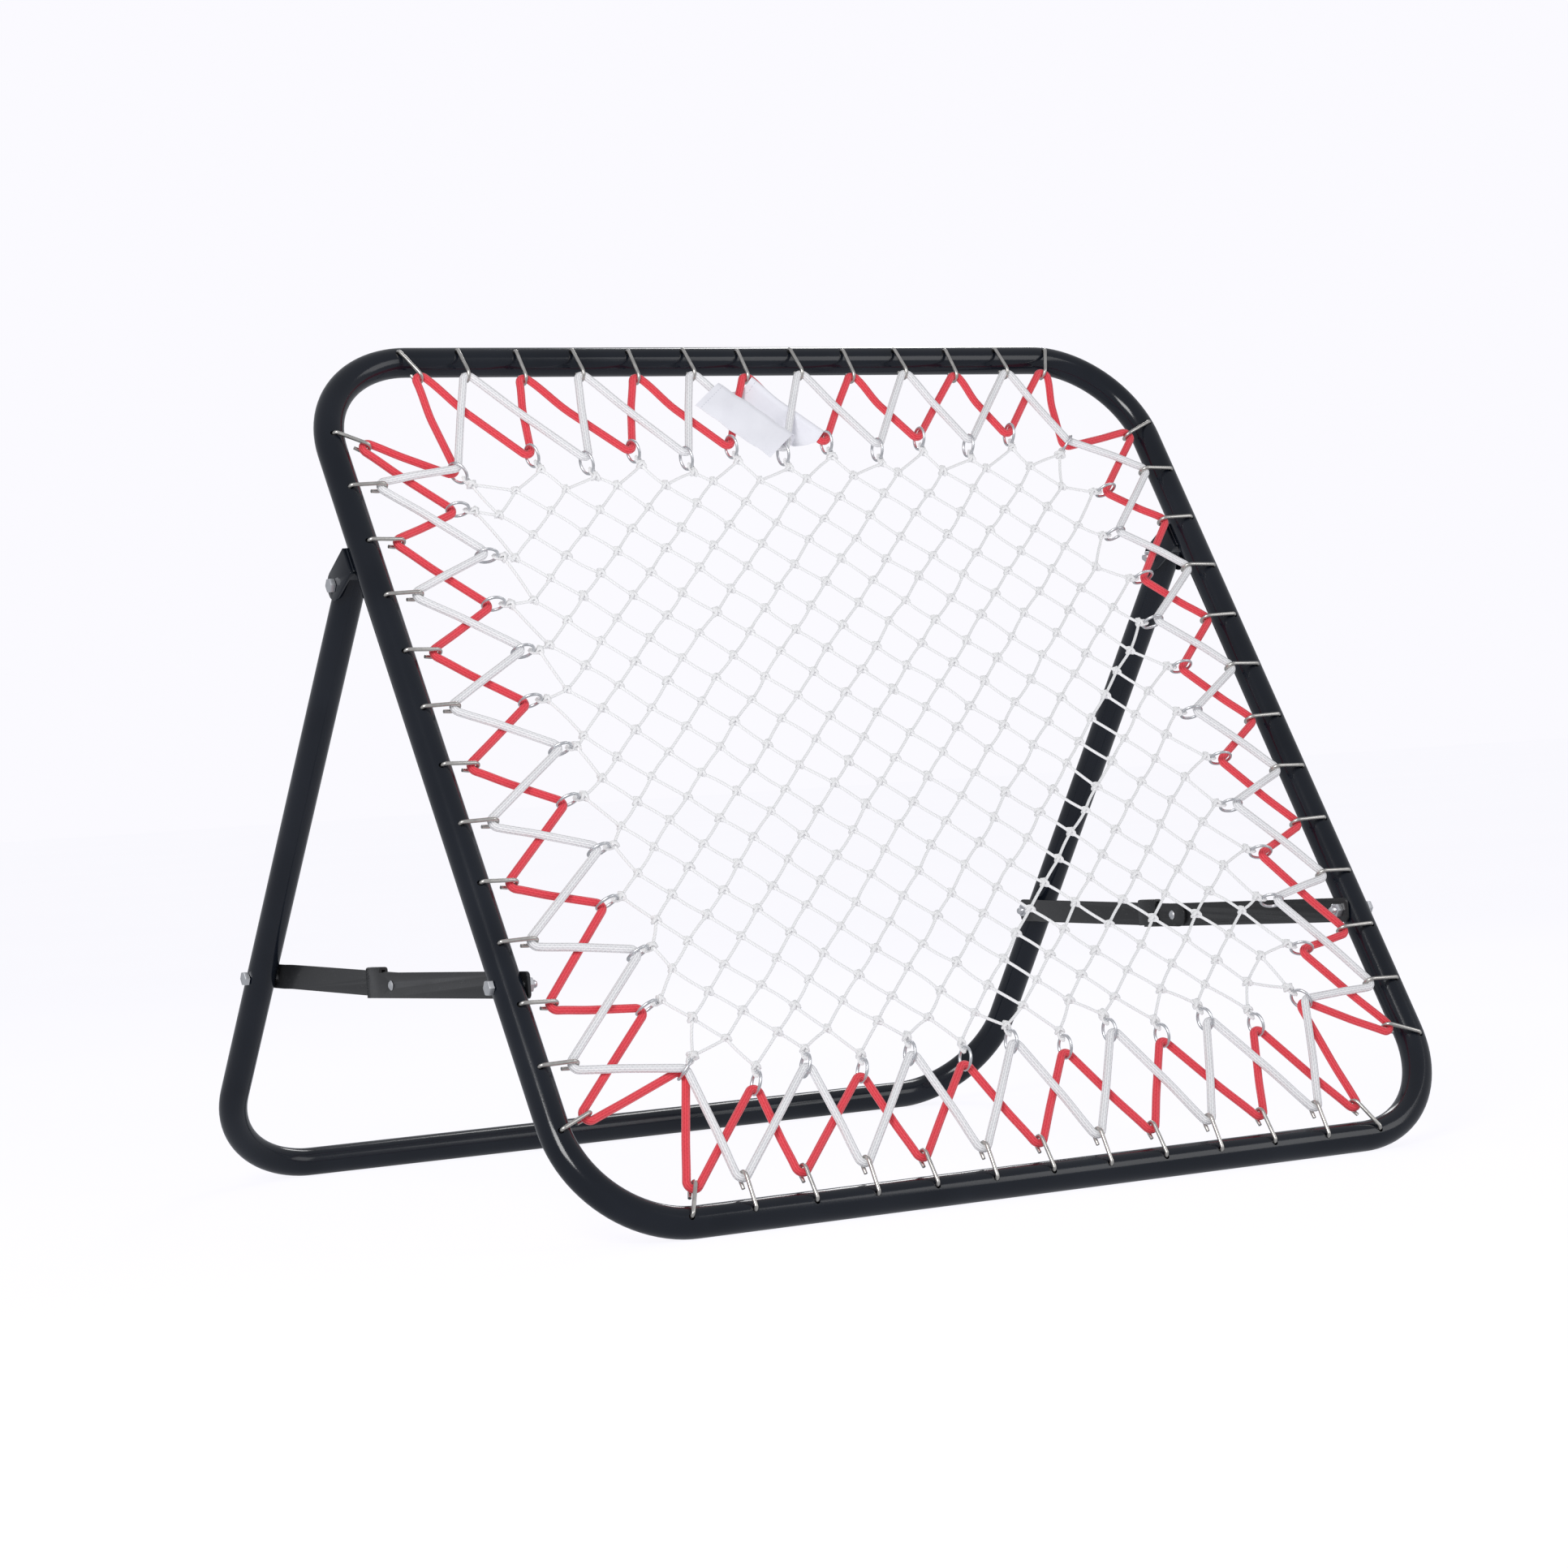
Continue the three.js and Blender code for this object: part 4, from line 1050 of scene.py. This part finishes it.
# where the next knot would be, for a knot at the edge of the net
FALLING = Vector((0.02, -0.02, 0))
RISING = Vector((0.02, 0.02, 0))
EDGE_LOOP = 0.0018
FALL_SLIP = 0.0012
RISE_SLIP = 0.0010
knot_places = []
for (p, q), place in knots.items():
    fall = knots.get((p, q + 1), place + FALLING) - knots.get((p, q - 1), place)
    rise = knots.get((p + 1, q), place + RISING) - knots.get((p - 1, q), place)
    size = chance.uniform(1.05, 1.3)
    first, second = place - fall.normalized() * FALL_SLIP, place + rise.normalized() * RISE_SLIP
    knot_places.append(tied(first, fall, chance.uniform(-0.3, 0.3), size))
    knot_places.append(tied(second, rise, chance.uniform(-0.3, 0.3), size))
for place in corner_knots:
    knot_places.append(tied(place, Vector((1, 1, 0)), 0.2, 1.3))
    knot_places.append(tied(place, Vector((1, -1, 0)), -0.2, 1.3))
for centre, way in corner_rings + list(side_rings.values()):
    edge = centre - way * (RING_R + EDGE_LOOP)
    turn = Matrix((way.cross(OUT), way * 1.5, OUT * 1.1)).transposed().to_4x4()
    knot_places.append(slope @ Matrix.Translation(edge) @ turn)
knot_piece = copies(loop, "net_knots", knot_places)
discard(loop)
soften(knot_piece, 70)
finish_piece(knot_piece, white_twine, "frame", "net_twine")

# %% [markdown]
# ## Brackets and braces
# These flat steel pieces have the right shape in the CAD model, but with knife edges. A copy of
# each is merged into one skin, and a Bevel modifier rounds its edges, as a tumbled pressing has.

# %% Soften the plates
BRACKET_EDGE = 0.0006
LINK_EDGE = 0.0005


def pressed(node, name, radius):
    """A welded copy of a CAD plate with its edges rounded."""
    piece = bpy.data.objects.new(name, frame["nodes"][node].data.copy())
    bpy.context.collection.objects.link(piece)
    choose(piece)
    bpy.ops.object.mode_set(mode="EDIT")
    bpy.ops.mesh.select_all(action="SELECT")
    bpy.ops.mesh.remove_doubles(threshold=2e-5)
    bpy.ops.mesh.dissolve_limited(angle_limit=math.radians(1))
    bpy.ops.object.mode_set(mode="OBJECT")
    modify(
        piece, "BEVEL", width=radius, segments=2, limit_method="ANGLE", angle_limit=math.radians(35),
    )
    soften(piece, 40)
    return piece


for end in ("left", "right"):
    bracket = pressed(f"hinge_bracket_{end}", f"bracket_{end}", BRACKET_EDGE)
    finish_piece(bracket, bracket_paint, "frame", "bracket_steel", f"hinge_bracket_{end}")
    for part in ("front", "rear"):
        node = f"brace_{part}_link_{end}"
        link = pressed(node, f"{part}_brace_{end}", LINK_EDGE)
        finish_piece(link, brace_paint, f"{part}_link_{end}", "link_steel", node)

# %% [markdown]
# ### Welds
# Each cheek of a bracket is welded to the tube. A weld is a row of small overlapping puddles, so
# a thin bar is pushed along the seam, a little thicker and thinner in turn.

# %% Lay the weld beads
PUDDLE = 0.0021
PUDDLES = 12
BEAD_R = 0.0007
SWELL = 1.28
FIRST_SWELL = 1.9
WELD_ASIDE = 0.0146
WELD_BELOW = 0.0142
WELD_BACK = 0.0066
weld = new_piece(
    "weld", bpy.ops.mesh.primitive_circle_add, vertices=10, radius=BEAD_R, fill_type="NGON",
)
for number in range(PUDDLES):
    wide = SWELL if number else FIRST_SWELL
    push_wide((0, 0, PUDDLE * 0.5), (wide, wide, 1))
    push_wide((0, 0, PUDDLE * 0.6), (1 / SWELL, 1 / SWELL, 1))
closed_shape(weld)
flat_pivot = slope.inverted() @ pivot
upright = Matrix(((1, 0, 0), (0, 0, 1), (0, -1, 0))).to_4x4()
for sign, end in ((-1, "left"), (1, "right")):
    places = []
    for cheek in (-1, 1):
        x = sign * AXIS_X + cheek * WELD_ASIDE
        start = Vector((x, flat_pivot.y - WELD_BELOW, -WELD_BACK))
        places.append(slope @ Matrix.Translation(start) @ upright)
    beads = copies(weld, f"bracket_welds_{end}", places)
    soften(beads, 60)
    finish_piece(beads, bracket_paint, "frame", "bracket_steel")
discard(weld)

# %% [markdown]
# ## Bolts, nuts and rivets
# Hexagon heads are chamfered where the spanner goes on, and the end of each bolt shows its
# thread. One bolt head, one nut and one threaded bar are modelled along X and copied to the
# places of the CAD hardware.

# %% Hexagon head
HEX_FLAT = 0.0065
HEX_R = HEX_FLAT / math.cos(math.pi / 6)
HEAD = 0.0053
NUT = 0.0065
HEAD_CHAMFER = 0.0011
NUT_CHAMFER = 0.0009
BORE_R = 0.0042
head = new_piece(
    "head", bpy.ops.mesh.primitive_cylinder_add,
    vertices=6, radius=HEX_R, depth=HEAD, location=(HEAD / 2, 0, 0), rotation=ALONG_X,
)
pick(head, lambda place: place.x > HEAD * 0.9)
bpy.ops.mesh.bevel(offset=HEAD_CHAMFER, segments=2, affect="EDGES")
closed_shape(head)
print("head", HEAD * 1000, "mm high")

# %% Nut
nut = new_piece(
    "nut", bpy.ops.mesh.primitive_cylinder_add,
    vertices=6, radius=HEX_R, depth=NUT, location=(-NUT / 2, 0, 0), rotation=ALONG_X,
)
pick(nut, lambda place: place.x < -NUT * 0.9)
bpy.ops.mesh.bevel(offset=NUT_CHAMFER, segments=2, affect="EDGES")
closed_shape(nut)
bore = new_piece(
    "bore", bpy.ops.mesh.primitive_cylinder_add,
    vertices=24, radius=BORE_R, depth=0.03, rotation=ALONG_X,
)
closed_shape(bore)
modify(nut, "BOOLEAN", operation="DIFFERENCE", object=bore, solver="EXACT")
discard(bore)
print("nut", NUT * 1000, "mm high")

# %% [markdown]
# ### Thread
# A coarse thread is close to a stack of rings at this size: the end of a round bar is pushed
# along, wider and narrower in turn, with a small chamfer at the tip.

# %% Threaded end
BAR_R = 0.0039
HALF_PITCH = 0.000625
THREAD_ROOT = 0.87
TIP_LENGTH = 0.0008
TIP_SHARE = 0.8


def threaded_bar(name, length, smooth):
    """A bar from X = 0 to -length, plain for its first part."""
    bar = new_piece(
        name, bpy.ops.mesh.primitive_circle_add,
        vertices=20, radius=BAR_R, rotation=ALONG_X, fill_type="NGON",
    )
    push((-smooth, 0, 0))
    turns = int((length - smooth - TIP_LENGTH) / HALF_PITCH / 2)
    for _ in range(turns):
        for wide in (THREAD_ROOT, 1 / THREAD_ROOT):
            push_wide((-HALF_PITCH, 0, 0), (1, wide, wide))
    left_over = length - smooth - turns * 2 * HALF_PITCH
    push_wide((-left_over, 0, 0), (1, TIP_SHARE, TIP_SHARE))
    return closed_shape(bar)


# %% Put the bolts and nuts in
SEATED = 0.001
THREAD_LENGTH = 0.013
REAR_THREAD = 0.002
NUT_OUT = 0.0045
STUB = 0.006
STUB_SMOOTH = 0.004


def along_x(sign, x, centre):
    """The place of a model drawn along +X: outwards is +X on the right side, -X on the left."""
    turn = Matrix.Identity(4) if sign > 0 else Matrix.Rotation(math.pi, 4, "Z")
    return Matrix.Translation((x, centre.y, centre.z)) @ turn


def join(piece, model, place):
    """Joins a copy of the model to the piece, and throws the model away."""
    added = copies(model, "added", [place])
    discard(model)
    choose(piece)
    added.select_set(True)
    bpy.ops.object.join()


for end, sign in (("left", -1), ("right", 1)):
    for kind, body in (("hinge", "frame"), ("brace_front", "frame"), ("brace_rear", "leg")):
        low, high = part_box(f"{kind}_bolt_{end}")
        centre = (low + high) / 2
        outer = high.x if sign > 0 else low.x
        inner = low.x if sign > 0 else high.x
        face = outer - sign * HEAD
        nut_low, nut_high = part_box(f"{kind}_nut_{end}")
        nut_face = nut_high.x if sign > 0 else nut_low.x
        nut_centre = (nut_low + nut_high) / 2
        rear = kind == "brace_rear"
        if rear:
            nut_tip = nut_low.x if sign > 0 else nut_high.x
            nut_face = nut_tip + sign * (NUT + NUT_OUT)
        length = abs(face - inner) + SEATED
        bar = threaded_bar("bar", length, length - (REAR_THREAD if rear else THREAD_LENGTH))
        bolt = copies(head, f"{kind}_hex_bolt_{end}", [along_x(sign, face, centre)])
        join(bolt, bar, along_x(sign, face + sign * SEATED, centre))
        soften(bolt, 32)
        finish_piece(bolt, zinc, body, "zinc_hardware", f"{kind}_bolt_{end}")
        made = copies(nut, f"{kind}_hex_nut_{end}", [along_x(sign, nut_face, nut_centre)])
        if rear:
            tip = threaded_bar("tip", NUT + NUT_OUT + STUB, STUB_SMOOTH)
            join(made, tip, along_x(sign, nut_face + sign * STUB, nut_centre))
        soften(made, 32)
        nut_body = f"rear_link_{end}" if rear else "frame"
        finish_piece(made, zinc, nut_body, "zinc_hardware", f"{kind}_nut_{end}")
discard(head)
discard(nut)

# %% [markdown]
# ### Rivets
# The two halves of a brace turn on a rivet. It has a low dome at each end and a thinner shank
# between. A small circle is pushed along and widened step by step, then narrowed again.

# %% Set the rivets
RIVET_HEAD = 0.0022
SHANK_SHARE = 0.54
DOME_TIP = 0.0012
# each step of the dome along the rivet, and how much wider it gets
DOME = ((0.0004, 2.2), (0.0009, 1.55), (0.0009, 1.22))
for end in ("left", "right"):
    low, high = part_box(f"brace_rivet_{end}")
    centre = (low + high) / 2
    half_length = (high.x - low.x) / 2
    rivet = new_piece(
        f"rivet_{end}", bpy.ops.mesh.primitive_circle_add, vertices=28, radius=DOME_TIP,
        location=(-half_length, 0, 0), rotation=ALONG_X, fill_type="NGON",
    )
    for step, wide in DOME:
        push_wide((step, 0, 0), (1, wide, wide))
    push_wide((0, 0, 0), (1, SHANK_SHARE, SHANK_SHARE))
    push((2 * half_length - 2 * RIVET_HEAD, 0, 0))
    push_wide((0, 0, 0), (1, 1 / SHANK_SHARE, 1 / SHANK_SHARE))
    for step, wide in reversed(DOME):
        push_wide((step, 0, 0), (1, 1 / wide, 1 / wide))
    closed_shape(rivet)
    rivet.data.transform(Matrix.Translation(centre))
    soften(rivet, 40)
    finish_piece(rivet, zinc, f"front_link_{end}", "zinc_hardware", f"brace_rivet_{end}")

# %% [markdown]
# ## Plugs
# The ends of the leg tube are closed with moulded plugs. A plug is a short spigot with a domed
# cap, made from a circle that is pushed and widened.

# %% Push in the plugs
SPIGOT_R = 0.0130
SPIGOT = 0.008
PLUG_PROUD = 0.0003
# each step of the cap along the plug, and how much wider it gets
CAP = ((0, 14 / 13), (0.0012, 1.0), (0.0009, 0.93), (0.0009, 0.78), (0.0006, 0.5))
for end, sign in (("left", -1), ("right", 1)):
    plug = new_piece(
        f"end_plug_{end}", bpy.ops.mesh.primitive_circle_add,
        vertices=36, radius=SPIGOT_R, location=(sign * AXIS_X, LEG_OVERRUN - SPIGOT, 0),
        rotation=ALONG_Y, fill_type="NGON",
    )
    push((0, SPIGOT + PLUG_PROUD, 0))
    push((0, 0, 0))
    for step, wide in CAP:
        push_wide((0, step, 0), (wide, 1, wide))
    closed_shape(plug)
    plug.data.transform(leg_place)
    soften(plug, 40)
    finish_piece(plug, plug_plastic, "leg", "plug_plastic", f"leg_end_plug_{end}")

# %% [markdown]
# ## The cloth label
# A blank strip of cloth hangs over two lengths of elastic near the top. Its path across the cords
# is drawn as a few points and smoothed, and the strip is then swept along the cord with soft
# wrinkles in it. A drawn path is quick, and comes out the same each time.

# %% Drape the label
LABEL_LENGTH = 0.094
LABEL_START = 0.004
CLOTH_THICK = 0.0005
red_start = hook_post(0, 6) + Vector((0, CORD_D / 2, 0))
red_end = side_rings[0, 6][0] + side_rings[0, 6][1] * RING_R
run = red_end - red_start
run.z = 0
run_length = run.length
run.normalize()
across = Vector((run.y, -run.x, 0))
gap = HOOK_ROW / (HOOKS - 1) * abs(across.x)
# distance across from the red cord towards the white one, and height over the cord plane
FOLD = gap - 0.009
PATH = [
    (-0.0030, 0.0012), (-0.0010, 0.0036), (0.0020, 0.0050), (0.0060, 0.0036), (0.0100, -0.0010),
    (0.016, -0.0060), (0.024, -0.0085), (0.031, -0.0085), (FOLD - 0.0045, -0.0040),
    (FOLD - 0.0040, 0.0050), (FOLD - 0.0010, 0.0108), (FOLD + 0.004, 0.0130),
    (FOLD + 0.010, 0.0132), (FOLD + 0.022, 0.0125), (FOLD + 0.034, 0.0112), (FOLD + 0.045, 0.0092),
]


def smooth_path(points, parts):
    """A Catmull-Rom curve through the points."""
    padded = [points[0]] + list(points) + [points[-1]]
    made = []
    for a, b, c, d in zip(padded, padded[1:], padded[2:], padded[3:]):
        for k in range(parts):
            t = k / parts
            made.append(tuple(
                0.5 * (2 * b[n] + (c[n] - a[n]) * t
                       + (2 * a[n] - 5 * b[n] + 4 * c[n] - d[n]) * t * t
                       + (3 * b[n] - a[n] - 3 * c[n] + d[n]) * t ** 3)
                for n in range(2)
            ))
    made.append(points[-1])
    return made


section = smooth_path(PATH, 5)
COLUMNS = 44
# how far the front flap slides back along the cord, and how much more it does further out
SLIDE = 0.024
SLIDE_FROM = 0.012
FLARE = 0.11
# the cloth is still for the first part of its path, and wrinkles more and more over the next
STILL = 0.008
STIRRED = 0.02
arc = [0]
for (x0, z0), (x1, z1) in zip(section, section[1:]):
    arc.append(arc[-1] + math.hypot(x1 - x0, z1 - z0))
points, faces, maps = [], [], []
for i in range(COLUMNS + 1):
    share = i / COLUMNS
    down_cord = LABEL_START + share * LABEL_LENGTH
    for (x, z), s in zip(section, arc):
        wave = 0.0007 * math.sin(share * 9 + s * 60) + 0.0005 * math.sin(share * 23 - s * 110)
        free = min(1, max(0, (x - STILL) / STIRRED))
        slide = SLIDE * min(1, max(0, (x - SLIDE_FROM) / (FOLD - SLIDE_FROM)))
        slide += FLARE * max(0, x - FOLD)
        place = red_start + run * (down_cord - slide)
        early = max(0, 1 - down_cord / run_length / EASE_IN)
        raised = LIFTS[0] * early * early * (3 - 2 * early) * max(0, 1 - x / FOLD)
        place += across * x
        place.z = CORD_PLANE + z + wave * free + raised
        points.append(place)
rows = len(section)
for i in range(COLUMNS):
    for j in range(rows - 1):
        faces.append([i * rows + j, (i + 1) * rows + j, (i + 1) * rows + j + 1, i * rows + j + 1])
        v0, v1 = i * LABEL_LENGTH / COLUMNS, (i + 1) * LABEL_LENGTH / COLUMNS
        maps += [(arc[j], v0), (arc[j], v1), (arc[j + 1], v1), (arc[j + 1], v0)]
label = mapped_piece("cloth_label", points, faces, maps)
modify(label, "SOLIDIFY", thickness=CLOTH_THICK, offset=0)
soften(label, 60)
finish_piece(label, label_cloth, "frame", "label_cloth", "net_label")
print(f"label {arc[-1] * 1000:.0f} x {LABEL_LENGTH * 1000:.0f} mm, cord run {run_length * 1000:.0f} mm")

# %% [markdown]
# ## The floor
# One pale sheet, large enough that its edge never shows. It glows a little, so that it meets the
# white room with no line between them.

# %% Floor
FLOOR_SIZE = 60
FLOOR_DARK = (0.13, 0.13, 0.14, 1)
FLOOR_LIGHT = (0.15, 0.15, 0.16, 1)
GLOW_DARK = (0.962, 0.955, 1, 1)
GLOW_LIGHT = (0.97, 0.962, 1, 1)
bpy.ops.object.select_all(action="DESELECT")
bpy.ops.mesh.primitive_plane_add(size=FLOOR_SIZE, location=(0, 0, 0))
floor = bpy.context.object
floor.name = "floor"
pale = Finish("pale_floor", Roughness=0.9, Specular_IOR_Level=0.0, Emission_Strength=0.93)
cloud = pale.noise(0.8, 2)
pale.put("Base Color", pale.between(cloud, FLOOR_DARK, FLOOR_LIGHT))
pale.put("Emission Color", pale.between(cloud, GLOW_DARK, GLOW_LIGHT))
floor.data.materials.append(pale.material)
floor.visible_glossy = False
floor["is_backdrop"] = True

# %% Size of the finished model
model_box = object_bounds()
for corner, cad_corner in zip(model_box, cad_box):
    print("model less CAD, mm", [round((a - b) * 1000, 1) for a, b in zip(corner, cad_corner)])
